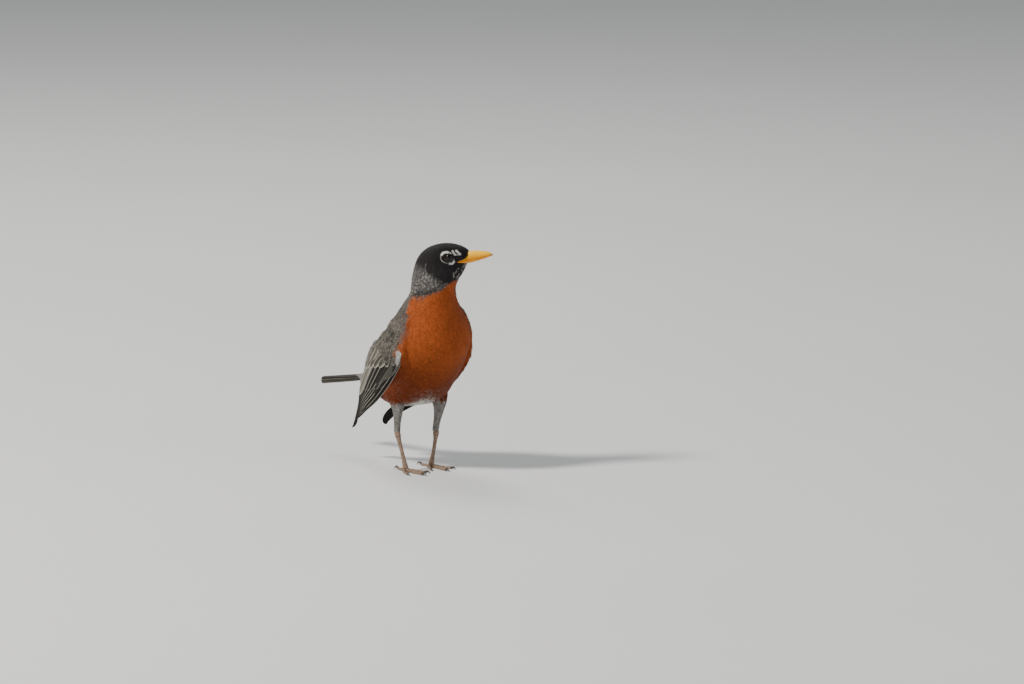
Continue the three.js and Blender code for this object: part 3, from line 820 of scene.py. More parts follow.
class Vane:
    """The outline of a plume with a lobed tip: each vertex's share along and across it, and the faces."""

    def __init__(self, rows, columns):
        along, across = (grid.ravel() for grid in lattice((0, LOBES_FROM), (-1, 1), rows, columns))
        start = (rows - 1) * columns
        first = np.arange(columns - 1)
        lobes = np.stack([start + first, start + first + 1, len(along) + first], axis=-1)
        self.faces = np.concatenate([halved(strip_faces(rows, columns)), lobes])
        self.free = np.concatenate([np.zeros(len(along)), np.ones(len(first))])
        self.across = np.concatenate([across, -1 + (2 * first + 1) / (columns - 1)])
        along = np.concatenate([along, np.ones(len(first))])
        self.along = along * (1 - TIP_ROUNDING * self.across ** 2)
        base = 0.34 + 0.66 * np.sin(np.minimum(self.along / 0.6, 1) * math.pi / 2)
        self.width = base * (1 - 0.3 * soft_step(0.6, 1, self.along))


PLUME = Vane(4, 7)
FACE_PLUME = Vane(3, 5)


def straight(points, down, side, u, v):
    """The plain lie of the feathers: along the sheet."""
    return down


def courses(sheet, u, v, length, comb):
    """The places on the sheet along each feather's shaft."""
    us, vs = [u], [v]
    for _ in range(COURSE_STEPS):
        points, along, across, normal = sheet.look(u, v)
        down = unit(along) * sheet.lie
        heading = unit(comb(points, down, np.cross(normal, down), u, v))
        du, dv = sheet.step(along, across, heading * (length / COURSE_STEPS)[:, None])
        u, v = u + du, v + dv
        us.append(u)
        vs.append(v)
    return np.stack(us, 1), np.stack(vs, 1)


def lay(sheet, vane, u, v, length, width, root_depth, tip_height, seed, comb=straight, camber=0.22,
        stray=0.25, ruffle=0.0, draped=None):
    """Vertices of many feathers on a sheet, as an array of feather, vertex, XYZ, and their places on it.

    camber is how far a vane's edges sink, stray how unevenly its lobes end and ruffle how far they lift.
    draped gives the height that a feather needs at a point to lie over what is there.
    """
    rng = chance(seed)
    way_u, way_v = courses(sheet, u, v, length, comb)
    along = vane.along[None] * np.ones((len(u), 1))
    along = along + vane.free[None] * rng.uniform(-stray, stray * 0.4, along.shape) * 0.6
    place = np.clip(along * COURSE_STEPS, 0, COURSE_STEPS - 1e-6)
    index = place.astype(int)
    f = place - index
    rows = np.arange(len(u))[:, None]
    mid_u = way_u[rows, index] * (1 - f) + way_u[rows, index + 1] * f
    mid_v = way_v[rows, index] * (1 - f) + way_v[rows, index + 1] * f
    ahead_u, ahead_v = (way[rows, index + 1] - way[rows, index] for way in (way_u, way_v))
    _, tangent_u, tangent_v, normal = sheet.look(mid_u, mid_v)
    shaft = unit(tangent_u * ahead_u[..., None] + tangent_v * ahead_v[..., None])
    side = np.cross(normal, shaft)
    across = vane.across[None] + vane.free[None] * rng.uniform(-0.1, 0.1, along.shape)
    reach = width[:, None] * vane.width[None] * across
    du, dv = sheet.step(tangent_u, tangent_v, side * reach[..., None])
    points, _, _, normal = sheet.look(mid_u + du, mid_v + dv)
    rise = np.clip(along, 0, 1) ** 0.75
    height = -root_depth[:, None] * (1 - rise) + tip_height[:, None] * rise
    height = height - camber * vane.across[None] ** 2 * np.minimum(width[:, None] / 2, 1)
    height = height + ruffle * vane.free[None] * rng.uniform(-0.4, 1, along.shape)
    if draped:
        height = height + draped(points, normal) * (0.25 + 0.75 * soft_step(0, 0.55, along))
    return points + normal * height[..., None], mid_u + du, mid_v + dv


def coat_piece(name, slot, finish, vane, points, roots, middle, edge, seed):
    """One mesh of many laid feathers. Each is a small patch of the bake's map, at its root's place."""
    count, corners = points.shape[:2]
    offsets = (np.arange(count) * corners)[:, None, None]
    faces = (vane.faces[None] + offsets).reshape(-1, 3)
    each = np.ones((1, corners, 1))
    middle, edge = (tone if tone.ndim == 3 else tone[:, None] * each for tone in (middle, edge))
    shade = chance(seed + 500).uniform(0, 1, count)[:, None]
    spot = np.stack(np.broadcast_arrays(vane.across[None], vane.along[None], shade), axis=-1)
    low, high = roots.min(0), roots.max(0)
    home = 0.01 + 0.98 * (roots - low) / np.maximum(high - low, 1e-6)
    patch = (np.stack([vane.across / 2, vane.along - 0.5], axis=-1) * TUFT_PATCH)[None]
    attributes = (("plume_middle", middle), ("plume_edge", edge), ("vane", spot))
    piece = mesh_object(name, points, faces, finish, attributes, (home[:, None] + patch).reshape(-1, 2))
    settle(piece, slot)


def scatter(sheet, spacing, seed):
    """Roots by a sequence that fills evenly, about one to each square of the spacing."""
    u = (sheet.u[1:] + sheet.u[:-1]) / 2
    v = (sheet.v[1:] + sheet.v[:-1]) / 2
    uu, vv = np.meshgrid(u, v, indexing="ij")
    points, along, across, _ = sheet.look(uu, vv)
    area = length_of(np.cross(along, across))[..., 0] * (u[1] - u[0]) * (v[1] - v[0])
    density = area / spacing(uu, vv, points) ** 2 + 1e-12
    turn = np.arange(1, int(density.sum()) + 1)
    first, second = ((turn * step + seed * shift) % 1 for step, shift in EVEN_STEPS)
    rows = np.cumsum(density.sum(1)) / density.sum()
    i = np.minimum(np.searchsorted(rows, first), len(u) - 1)
    before = np.where(i > 0, rows[i - 1], 0)
    root_u = sheet.u[i] + (first - before) / (rows[i] - before) * (u[1] - u[0])
    columns = np.cumsum(density, axis=1) / density.sum(1, keepdims=True)
    ladder = (columns + np.arange(len(u))[:, None]).ravel()
    j = np.minimum(np.searchsorted(ladder, i + second) - i * len(v), len(v) - 1)
    before = np.where(j > 0, columns[i, j - 1], 0)
    share = np.clip((second - before) / np.maximum(columns[i, j] - before, 1e-12), 0, 1)
    root_v = sheet.v[j] + share * (v[1] - v[0])
    return root_u, root_v


EYE_CLEAR = 3.5                  # no plumes this near to an eye's axis
EYE_CALM = (7, 11)               # plumes are smallest within the first distance and full beyond the second
EYE_SHRINK = 0.36                # the share of their size that they lose there
FACE_FROM = 15                   # the eyes lie beyond this place on the body
BARE_FROM = 14                   # and all bare places of the head beyond this one
SIZES_CHANGE = (11, 15.5)        # where plumes change from the body's size to the face's
SPACING_CHANGES = (11.5, 15.5)   # and where their spacing does
WING_HIDES = 4.2                 # plumes this near to the inside of a folded wing are left out


def from_eye(points):
    """How far points lie forward of and above the axis of the nearer eye."""
    x, y, z = np.moveaxis(in_head(points), -1, 0)
    return x - EYE[0] - EYE_LEAN * (np.abs(y) - EYE[1]), z - EYE[2]


def off_eye(points):
    """How far points lie from the axis of the nearer eye."""
    return np.hypot(*from_eye(points))


def eye_shrink(points, place):
    """How small and close the plumes are round the eyes."""
    return 1 - EYE_SHRINK * soft_step(EYE_CALM[1], EYE_CALM[0], off_eye(points)) * (place > FACE_FROM)


def mouth_height(share):
    """The height of the line between the bill's halves, which sags a little from gape to tip."""
    return GAPE[1] + (BILL_TIP[1] - GAPE[1]) * (0.86 * share + 0.14 * share ** 2)


def in_bill(points, grown):
    """Whether points lie in the bill grown all round."""
    x, y, z = np.moveaxis(in_head(points), -1, 0)
    share = np.clip((x - GAPE[0]) / (BILL_TIP[0] - GAPE[0]), 0, 1)
    mouth = mouth_height(share)
    wide = profile(BILL_WIDTH, share) + grown
    above = (z - mouth) / (profile(UPPER_DEPTH, share) + grown)
    below = (mouth - z) / (profile(LOWER_DEPTH, share) + grown)
    inside = (y / wide) ** 2 + np.maximum(above, below) ** 2 < 1
    return inside & (x > GAPE[0])


def round_the_eye(points, down, side):
    """The lie of the face: along the sheet, parted round each eye as a stream round a post."""
    forward, up = from_eye(points)
    away = np.stack([forward, np.zeros_like(forward), up], axis=-1)
    distance = np.maximum(dot(away, away)[..., 0], EYE_CLEAR ** 2)
    away = turned(away, HEAD_TURN)
    a, b = dot(away, down)[..., 0], dot(away, side)[..., 0]
    pull = EYE_CLEAR ** 2 * 1.05 / distance
    onward = 1 - pull * (a * a - b * b) / distance
    sideways = -2 * pull * a * b / distance
    return down * onward[..., None] + side * sideways[..., None]


def hidden_by_wing(points):
    """Whether body points lie well under a folded wing."""
    along, across = lattice((SHOULDER + 0.06, 0.97), (0, 1), 44, 18)
    low = wing_top(along) + 0.14
    return off_wing(points, along, low + (0.84 - low) * across) < WING_HIDES


# Where the flank's plumes lie over a wing's front edge: from how far across, and how far along each wing.
FRONT_COVER = (0.86, {"left": 0.5, "right": 0.2})
BACK_COVER = (0.13, 0.75)        # where along a wing the back's plumes rise to meet its back edge
SIDE_REACH = 1.5                 # how far beside a wing's edge plumes rise as high as over it
LOWEST_LIFT = -2                 # a wing this far under the plumes doesn't move them
FARTHEST_LIFT = 14               # nor does one this far off


class Drape:
    """How high the plumage of the body stands to lie over a wing's shoulder and front edge, or to meet
    its back edge."""

    def __init__(self):
        patches = []
        start, ends = FRONT_COVER
        for name, sheet in WINGS.items():
            # range along, range across, counts, height over the wing, how far beside it the plumes rise
            for u_range, v_range, counts, margin, reach in (
                    ((0, SHOULDER), (0.42, 1), (14, 24), 0.9, 4.5),
                    ((SHOULDER, ends[name]), (start, 1), (30, 6), 1.1, 4.5),
                    (BACK_COVER, (0, 0.03), (60, 2), 0.4, 7.5)):
                along, across = lattice(u_range, v_range, *counts)
                across = across + (wing_top(along) if v_range[0] == 0 else 0)
                points = sheet.look(along, across)[0].reshape(-1, 3)
                patches.append(np.column_stack([points, np.tile((margin, reach), (len(points), 1))]))
        self.patches = np.concatenate(patches)
        self.tree = search_tree(self.patches[:, :3])

    def height(self, points, normal):
        flat, up = points.reshape(-1, 3), normal.reshape(-1, 3)
        found = [self.tree.find(point) for point in flat]
        nearest = self.patches[[index for _, index, _ in found]]
        distance = np.array([gap for _, _, gap in found])
        margin, reach = nearest[:, 3], nearest[:, 4]
        lift = dot(nearest[:, :3] - flat, up)[:, 0]
        aside = np.sqrt(np.maximum(distance ** 2 - lift ** 2, 0))
        near = soft_step(0, 1, (reach - aside) / (reach - SIDE_REACH))
        near = near * (lift > LOWEST_LIFT) * (distance < FARTHEST_LIFT)
        return (np.maximum(lift + margin, 0) * near).reshape(points.shape[:-1])


def plume_size(kind, face):
    """The spacing or length of plumes, from the body's to the face's."""
    body = sizes("plume_" + kind)
    return body + (sizes("face_" + kind) - body) * face


def body_spacing(uu, vv, points):
    """How far apart the roots of the body's plumes lie. There are none at the eyes or in the bill."""
    spacing = plume_size("spacing", soft_step(*SPACING_CHANGES, uu)) * eye_shrink(points, uu)
    bare = (off_eye(points) < EYE_CLEAR) | in_bill(points, -0.3)
    return np.where(bare & (uu > BARE_FROM), NOWHERE, spacing)


def lie_of_body(points, down, side, u, v):
    """The lie of the body sways slowly from place to place, and that of the face parts at the eyes."""
    sway = 0.16 * np.sin(u * 2.3 + 3 * np.sin(v * 2)) + 0.1 * np.sin(v * 5 + u * 1.7)
    body = unit(down + side * sway[..., None])
    face = soft_step(13.0, 14.5, u)[..., None]
    return body * (1 - face) + round_the_eye(points, down, side) * face


COATS = (
    # name, slot, from and to place, least and most turn from the back in degrees, vane, seed
    ("coat_head", "black_feather", 13.6, 21.01, 0, 181, FACE_PLUME, 11),
    ("coat_neck", "grey_feather", 10.6, 13.6, 0, 181, PLUME, 12),
    ("coat_throat", "rust_feather", 8.0, 10.6, 0, 181, PLUME, 13),
    ("coat_breast", "rust_feather", 5.6, 8.0, 70, 181, PLUME, 14),
    ("coat_belly", "rust_feather", 3.2, 5.6, 70, 181, PLUME, 15),
    ("coat_vent", "pale_feather", -0.01, 3.2, 90, 181, PLUME, 16),
    ("coat_back", "grey_feather", 3.4, 8.0, 0, 70, PLUME, 17),
    ("coat_rump", "grey_feather", -0.01, 3.4, 0, 90, PLUME, 18),
)
UNEVEN_COATS = ("coat_head", "coat_neck", "coat_throat")
FLECKED_COATS = ("coat_belly", "coat_vent")
LAST_DRAPED = 11                 # coats that reach beyond this place don't lie over the wings


def make_body_coat():
    finish = plumage_finish("plumage")
    root_u, root_v = scatter(BODY, body_spacing, 1)
    points = BODY.look(root_u, root_v)[0]
    low = root_u < NECK_FOOT
    shown = np.ones(len(root_u), bool)
    shown[low] = ~hidden_by_wing(points[low])
    root_u, root_v = root_u[shown], root_v[shown]
    turn = np.degrees(np.abs(root_v))
    over_wing = Drape().height
    for name, slot, start, end, inner, outer, vane, seed in COATS:
        here = (root_u >= start) & (root_u < end) & (turn >= inner) & (turn < outer)
        coat_part(name, slot, finish, vane, root_u[here], root_v[here], seed, over_wing)


def back_fill(place, angle):
    """How much the plumage of the back stands up to fill the valley between the wings."""
    turn = np.degrees(np.abs(angle))
    return 3.6 * soft_step(5.6, 4.0, place) * soft_step(0.6, 2.2, place) * soft_step(62, 34, turn)


def mottled(middle, edge, vane, u, v, rng):
    """The grey edges of the neck and nape in uneven clumps, and white flecks on the throat."""
    mottle = soft_step(0.2, 0.6, rng.uniform(0, 1, len(u))) * soft_step(16, 13.0, u)
    clump = np.sin(u * 10 + 2 * np.sin(v * 6)) * np.sin(v * 12 + u * 5)
    mottle = (mottle * (1 - 0.75 * soft_step(0.1, 0.5, clump)))[:, None, None]
    grey = soft_step(0.02, 0.1, edge[..., 2:]) * (middle[..., :1] < 0.2)
    edge = edge * (1 - 0.75 * grey * (1 - mottle))
    turn = np.degrees(np.abs(v))
    throat = (rng.uniform(0, 1, len(u)) < 0.28) & (turn > 136) & (u > 12.5) & (u < 15.2)
    fleck = throat[:, None] * soft_step(0.4, 0.1, np.abs(vane.across))[None]
    return blended(middle, colour("belly") * 0.6, fleck), edge


def flecked(middle, edge, u, v, rng):
    """Pale fringes where the rust ends under the belly, and dusky feathers in it and a little past it,
    partly their own colour and partly painted shade of the underside.
    """
    turn = np.degrees(np.abs(v))
    past = u - np.interp(turn, *RUST_LOW)
    pale = soft_step(1.5, 0.2, past) * soft_step(125, 150, turn)
    pale = pale * soft_step(0.5, 0.75, rng.uniform(0, 1, len(u)))
    edge = blended(edge, colour("belly") * 0.7, pale)
    # Dusky feathers under the belly: partly their own colour, partly painted shade of the underside.
    dusky_and_shade = soft_step(0.4, 0.7, rng.uniform(0, 1, len(u))) * soft_step(-1.3, -0.3, past)
    dusky_and_shade = dusky_and_shade * soft_step(100, 120, turn) * 0.65
    middle = blended(middle, colour("breast_deep_and_shade"), dusky_and_shade)
    return middle, blended(edge, colour("belly_grey"), dusky_and_shade * 0.7)


def coat_part(name, slot, finish, vane, u, v, seed, over_wing):
    rng = chance(seed)
    count = len(u)
    face = soft_step(*SIZES_CHANGE, u)
    shrink = eye_shrink(BODY.look(u, v)[0], u)
    length = plume_size("length", face) * rng.uniform(0.85, 1.15, count)
    length = length * (0.75 + 0.25 * soft_step(21, 18, u)) * shrink
    width = plume_size("spacing", face) * rng.uniform(0.95, 1.25, count) * shrink
    depth = coat_depth(u) * 0.8
    tip = rng.uniform(-0.15, 0.3, count) * (1 - 0.5 * face)
    raised = back_fill(u, v)
    points, all_u, all_v = lay(BODY, vane, u, v, length, width, depth - raised, tip + raised, seed,
                               lie_of_body, camber=0.16, stray=0.2,
                               draped=over_wing if u.max() < LAST_DRAPED else None)
    jitter = rng.normal(0, 1, count)
    if name in UNEVEN_COATS:
        jitter = jitter * (0.03 + 0.09 * soft_step(15, 13, u))
        middle, edge = markings(np.clip(all_u, 0, BILL_BASE) + jitter[:, None], all_v)
        middle, edge = mottled(middle, edge, vane, u, v, rng)
    else:
        down = length * 0.6 / length_of(BODY.look(u, v)[1])[:, 0]
        at = np.clip(u - down + jitter * 0.07, 0, BILL_BASE)
        middle, edge = markings(at, v + rng.normal(0, 0.025, count))
    if name in FLECKED_COATS:
        middle, edge = flecked(middle, edge, u, v, rng)
    coat_piece(name, slot, finish, vane, points, np.stack([v, u], axis=-1), middle, edge, seed)


THIGH_SPACING = 1.1


def make_thigh_coats():
    finish = plumage_finish("thigh_plumage")
    for seed, (name, sheet) in enumerate(THIGH_SHEETS.items(), start=30):
        u, v = scatter(sheet, lambda uu, vv, points: np.full_like(uu, THIGH_SPACING), seed)
        keep = u > 0.12
        u, v = u[keep], v[keep]
        count = len(u)
        rng = chance(seed)
        length = (5.5 - 2.6 * u) * rng.uniform(0.85, 1.15, count)
        width = rng.uniform(1.0, 1.3, count) * (1 - 0.35 * u)
        depth = 0.6 - 0.3 * u
        tip = rng.uniform(0, 0.35, count)
        points, _, _ = lay(sheet, PLUME, u, v, length, width, depth, tip, seed, ruffle=0.15)
        pale = rng.uniform(0, 1, count) * (1 - 0.35 * u)
        middle = blended(colour("belly_grey") * 0.6, colour("belly") * 0.5, pale)
        edge = blended(colour("belly_grey") * 1.2, colour("belly") * 0.85, pale)
        rust = soft_step(50, 54, points[:, -1, 2] + rng.uniform(-2, 2, count))
        middle = blended(middle, colour("breast_deep_and_shade"), rust)
        edge = blended(edge, colour("breast") * 0.5, rust)
        coat_piece(f"coat_thigh_{name}", "pale_feather", finish, PLUME, points, np.stack([v, u], axis=-1),
                   middle, edge, seed)


# ---- quills: the flight feathers and the larger coverts, each a thin closed blade ----
BLADE_COLUMNS = np.array([-1, -0.86, -0.6, -0.3, -0.08, 0, 0.08, 0.35, 0.65, 0.88, 1])
BLADE_ROWS = 30
BLADE_THICKNESS = 0.16


def blade(sheet, root, tip, widths, heights, bow, point, base=0.55):
    """One feather on a sheet: its rings of points, and the place on the vane of each point.

    root and tip are places on the sheet. widths are the outer vane's, toward greater v, and the inner
    vane's. point is the share of the length over which the tip closes.
    """
    share = 1 - (1 - np.linspace(0, 1, BLADE_ROWS)) ** 1.5
    u = root[0] + (tip[0] - root[0]) * share
    v = root[1] + (tip[1] - root[1]) * share + bow * np.sin(math.pi * share)
    _, tangent_u, tangent_v, normal = sheet.look(u, v)
    shaft = unit(tangent_u * np.gradient(u)[:, None] + tangent_v * np.gradient(v)[:, None])
    side = np.cross(normal, shaft)
    side = side * np.sign(dot(side, tangent_v))
    swell = base + (1 - base) * soft_step(0, 0.35, share)
    close = np.sqrt(np.maximum(1 - (np.maximum(share - (1 - point), 0) / point) ** 2.2, 0))
    across = BLADE_COLUMNS[None] * np.ones((BLADE_ROWS, 1))
    reach = np.where(across > 0, *widths) * across * (swell * close)[:, None]
    du, dv = sheet.step(tangent_u[:, None], tangent_v[:, None], side[:, None] * reach[..., None])
    points, _, _, normal = sheet.look(u[:, None] + du, v[:, None] + dv)
    level = (heights[0] + (heights[1] - heights[0]) * share)[:, None]
    curve = np.where(across > 0, 0.06, 0.3) * across ** 2 * close[:, None]
    rachis = np.exp(-(across / 0.06) ** 2) * (1 - 0.6 * share)[:, None]
    top = points + normal * (level - curve + 0.22 * rachis)[..., None]
    under = points + normal * (level - curve - BLADE_THICKNESS - 0.1 * rachis)[..., None]
    rings = np.concatenate([top, under[:, ::-1]], axis=1)
    place = np.stack([across, share[:, None] * np.ones_like(across)], axis=-1)
    return rings, np.concatenate([place, place[:, ::-1]], axis=1)


def quill_piece(name, finish, blades, colours, seed, nodes=()):
    """One mesh of several blades. Each blade fills its own strip of the bake's map."""
    rng = chance(seed)
    parts, middles, edges, spots, places = [], [], [], [], []
    for index, ((rings, place), (middle, edge)) in enumerate(zip(blades, colours)):
        parts.append(closed_loft(rings))
        flat = np.concatenate([place.reshape(-1, 2), [[0, 0], [0, 1]]])
        middles.append(np.tile(middle, (len(flat), 1)))
        edges.append(np.tile(edge, (len(flat), 1)))
        spots.append(np.column_stack([flat, np.full(len(flat), rng.uniform(0, 1))]))
        strip = (index + 0.5 + 0.45 * flat[:, 0]) / len(blades)
        places.append(np.column_stack([strip, 0.02 + 0.96 * flat[:, 1]]))
    points, faces = joined(parts)
    keys = ("plume_middle", "plume_edge", "vane")
    attributes = [(key, np.concatenate(rows)) for key, rows in zip(keys, (middles, edges, spots))]
    piece = mesh_object(name, points, faces, finish, attributes, np.concatenate(places))
    settle(piece, "quill_feather", *nodes)


def quill_finish(name, edge_width, roughness=0.62, inner_shade=0.0, pale_tip=0.0, edge_end=None):
    """A flight feather: dark vanes, a pale line along the outer edge and perhaps the tip, a dark shaft.

    inner_shade is how much the vane is darkened with painted shade from its middle inward. edge_end is where
    the pale line fades out.
    """
    finish = Finish(name)
    across, along, chance_of = finish.parts(finish.attribute("vane"))
    outer = across.step(1 - edge_width * 1.25, 1 - edge_width * 0.75)
    if edge_end:
        outer = outer * (1 - along.step(edge_end - 0.1, edge_end + 0.1) * 0.92)
    rim = outer.most(along.step(0.965, 0.99) * pale_tip)
    strand = ((along * 60 - across.size() * 14 + chance_of * 5) * math.tau).wave()
    grain = finish.noise(420, 4)
    shaft = 1 - across.size().step(0.025, 0.07)
    middle, edge = finish.attribute("plume_middle"), finish.attribute("plume_edge")
    # Painted shade: the vane is darkened from its middle inward, by the share given.
    shadow = (1 - across.step(-0.1, 0.75)) * inner_shade
    colour_of = finish.mix(rim * 0.92, middle, edge)
    light = strand * 0.08 + grain * 0.4 + 0.74 + chance_of * 0.2 - shaft * 0.3
    light = light * (1 - shadow * (1 - rim))
    return finish.surface(
        Base_Color=finish.scaled(colour_of, light),
        Roughness=strand * 0.05 + grain * 0.12 + roughness,
        Normal=finish.bump(strand * 0.5 + shaft * 0.8, 0.3, 0.00012),
        Specular_IOR_Level=0.07,
    )


def spread(start, end, count):
    """Evenly spaced places from start to end."""
    start, end = np.array(start), np.array(end)
    return start + (end - start) * np.linspace(0, 1, count)[:, None]


def climbing(start, rise, count):
    """Heights of the root and tip of each of a row of blades, each blade higher than the last."""
    return [(start[0] + rise[0] * index, start[1] + rise[1] * index) for index in range(count)]


# Tips of the nine primaries from the inmost out, as along and across the wing.
PRIMARY_TIPS = [(0.77, 0.46), (0.81, 0.5), (0.85, 0.54), (0.89, 0.58), (0.93, 0.63), (0.97, 0.68),
                (1.0, 0.74), (0.985, 0.84), (0.93, 0.93)]
# Each row's roots, tips, widths of the outer and inner vanes, heights of the root and tip, how far the
# shafts bow, and the share of the length over which the tips close.
WING_ROWS = {
    "primaries": (spread((0.2, 0.6), (0.12, 0.96), 9), PRIMARY_TIPS, [(1.7, 5.2)] * 9,
                  [(level - 0.3, level * 0.8) for level in np.linspace(-0.1, -1.4, 9)], 0.05, 0.16),
    "secondaries": (spread((0.16, 0.9), (0.24, 0.4), 7), spread((0.47, 0.93), (0.69, 0.5), 7),
                    [(1.8, 5.4)] * 7, [(level, level) for level in np.linspace(-0.65, 0.3, 7)], 0.02, 0.12),
    "tertials": ([(0.28, 0.44), (0.26, 0.30), (0.24, 0.14)], [(0.705, 0.50), (0.655, 0.30), (0.585, 0.13)],
                 [(4.4, 5.6), (4.6, 5.2), (4.4, 4.0)], climbing((0.5, 0.6), (0.25, 0.22), 3), 0.02, 0.2),
    "primary_coverts": (spread((0.12, 0.97), (0.14, 0.86), 6), spread((0.34, 0.975), (0.47, 0.86), 6),
                        [(1.0, 2.6)] * 6, climbing((-0.6, -0.5), (0.14, 0.14), 6), 0.0, 0.25),
    "alula": ([(0.1, 0.93)] * 3, [(0.3, 0.965), (0.255, 0.955), (0.215, 0.945)], [(1.2, 2.4)] * 3,
              climbing((0.1, 0.15), (0.15, 0.15), 3), 0.0, 0.3),
    "greater_coverts": (spread((0.08, 0.88), (0.2, 0.28), 7), spread((0.26, 0.9), (0.5, 0.34), 7),
                        [(2.9, 4.6)] * 7, climbing((-0.9, 0.1), (0.1, 0.18), 7), 0.01, 0.26),
}


def row_of_blades(sheet, roots, tips, widths, heights, bow, point):
    """The blades of one of WING_ROWS."""
    return [blade(sheet, root, tip, pair, levels, bow, point)
            for root, tip, pair, levels in zip(roots, tips, widths, heights)]


def make_wing_quills():
    long = quill_finish("primary_vanes", 0.2, edge_end=0.8)
    dark = quill_finish("quill_vanes", 0.22)
    broad = quill_finish("tertial_vanes", 0.14, 0.6, 0.35, 0.4)
    covert = quill_finish("covert_quill_vanes", 0.2, 0.6, 0.75, 0.7)
    edge, quill, tertial = colour("quill_edge"), colour("quill"), colour("tertial")
    looks = (
        # row, middle, edge, finish, CAD nodes
        ("primaries", quill * 0.5, edge * 1.1, long, ("primaries",)),
        ("secondaries", quill * 0.7, edge * 1.05, dark, ("secondaries", "coverts")),
        ("tertials", tertial * 1.25, edge * 1.25, broad, ()),
        ("primary_coverts", quill * 0.8, edge, dark, ()),
        ("alula", quill * 0.8, edge, dark, ()),
        ("greater_coverts", tertial * 1.3, edge * 1.35, covert, ()),
    )
    for number, (name, sheet) in enumerate(WINGS.items()):
        for seed, (row, middle, rim, finish, parts) in enumerate(looks, start=40 + 10 * number):
            blades = row_of_blades(sheet, *WING_ROWS[row])
            nodes = [f"wing_{name}_{part}" for part in parts]
            quill_piece(f"wing_{name}_{row}_feathers", finish, blades, [(middle, rim)] * len(blades), seed,
                        nodes)


COVERT_SPACING = 2.3
COVERT_END = 0.93                # the small coverts stop this far across the wing


def scapular_share(across):
    """1 near a wing's back edge, where the scapulars lie, and 0 beyond them."""
    return soft_step(0.36, 0.2, across)


def covert_spacing(along, across, points):
    """The small coverts lie between the mantle and the greater coverts, and the scapulars further on."""
    start = SHOULDER - 0.05 - 0.04 * across + 0.13 * soft_step(0.5, 0.15, across)
    limit = 0.22 + 0.05 * (1 - across) + 0.2 * scapular_share(across)
    shown = (along > start) & (along < limit) & (across > wing_top(along)) & (across < COVERT_END)
    return np.where(shown, COVERT_SPACING, NOWHERE)


def make_wing_coverts():
    """The small coverts of the arm, and the scapulars that lie over the wing's back edge."""
    finish = plumage_finish("covert_vanes", 0.75, 20.0, (0.5, 1.0), 0.3)
    for number, (name, sheet) in enumerate(WINGS.items()):
        seed = 60 + 10 * number
        u, v = scatter(sheet, covert_spacing, seed)
        count = len(u)
        rng = chance(seed)
        scapular = scapular_share(v)
        length = (8.5 + 12 * u + 2.5 * scapular) * rng.uniform(0.8, 1.15, count)
        width = (2.2 + 2.2 * u) * rng.uniform(0.75, 1.1, count)
        u, v = u - 0.02, np.clip(v + rng.normal(0, 0.01, count), 0.02, 0.97)
        tip = (1.15 + (0.35 - u) * 1.2 + 0.4 * scapular) * (1 - 0.55 * soft_step(0.7, 0.93, v))
        tip = tip + rng.uniform(-0.15, 0.25, count)
        points, _, _ = lay(sheet, PLUME, u, v, length, width, 0.5 - tip * 0.3, tip, seed, camber=0.4,
                           ruffle=0.15)
        mix = rng.uniform(0, 1, count)
        spot = soft_step(0.74, 0.9, rng.uniform(0, 1, count))
        middle = blended(colour("back") * 0.6, colour("tertial"), mix * 0.7)
        edge = blended(colour("back_edge"), colour("quill_edge") * 1.15, rng.uniform(0, 1, count))
        middle, edge = middle * (1 - 0.6 * spot)[:, None], edge * (1 - 0.75 * spot)[:, None]
        coat_piece(f"wing_{name}_small_coverts", "grey_feather", finish, PLUME, points,
                   np.stack([u, v], axis=-1), middle, edge, seed)


TUFT = ((0.14, 0.94), (0.2, 0.975))     # the places of the white tuft's first and last roots on the wing
TUFT_PLUMES = 34


def make_flank_tufts():
    """A few white plumes of the flank that stand out over each wing's front edge."""
    finish = plumage_finish("tuft_plumage", 0.8, 18.0, (0.6, 1.0))
    (u0, v0), (u1, v1) = TUFT
    for seed, (name, sheet) in enumerate(WINGS.items(), start=90):
        rng = chance(seed)
        share = rng.uniform(0, 1, TUFT_PLUMES)
        u = u0 + (u1 - u0) * share
        v = v0 + (v1 - v0) * share + rng.normal(0, 0.02, TUFT_PLUMES) * (1.4 - share)
        length = rng.uniform(4.5, 8.5, TUFT_PLUMES)
        width = rng.uniform(0.5, 0.9, TUFT_PLUMES)
        depth = np.full_like(u, 0.2)
        tip = rng.uniform(1.9, 2.7, TUFT_PLUMES)
        points, _, _ = lay(sheet, PLUME, u, np.minimum(v, 0.99), length, width, depth, tip, seed, camber=0.4,
                           ruffle=0.3)
        white = rng.uniform(0.5, 1.1, (TUFT_PLUMES, 1)) * colour("belly")
        coat_piece(f"flank_tuft_{name}", "pale_feather", finish, PLUME, points, np.stack([u, v], axis=-1),
                   white * 0.75, white * 1.1, seed)


# ---- tail ----
TAIL_ROOT = (-32, 71.7)          # X and Z
TAIL_DROP = math.radians(8.6)
TAIL_LENGTH = 106
TAIL_HALF_WIDTHS = (8, 8.8)      # at the root and at the end
TAIL_ARCH = 4.5                  # how far its edges hang
TAIL_STEP = 0.3                  # and how far each pair lies under the last
TAIL_CLOSE = 0.55                # the share of both that is lost toward the end
TAIL_PAIRS = 6
TAIL_ROUND = 9                   # how much shorter the outmost feathers are
# How light the pairs' vanes and edges are, as shares of the quills' colours, from the middle pair out. The
# outmost pair's edges are white instead.
TAIL_VANES = (1.9, 1.5, 1.0, 0.75, 0.8, 1.1)
TAIL_EDGES = (0.35, 0.35, 0.9, 0.35, 0.35)


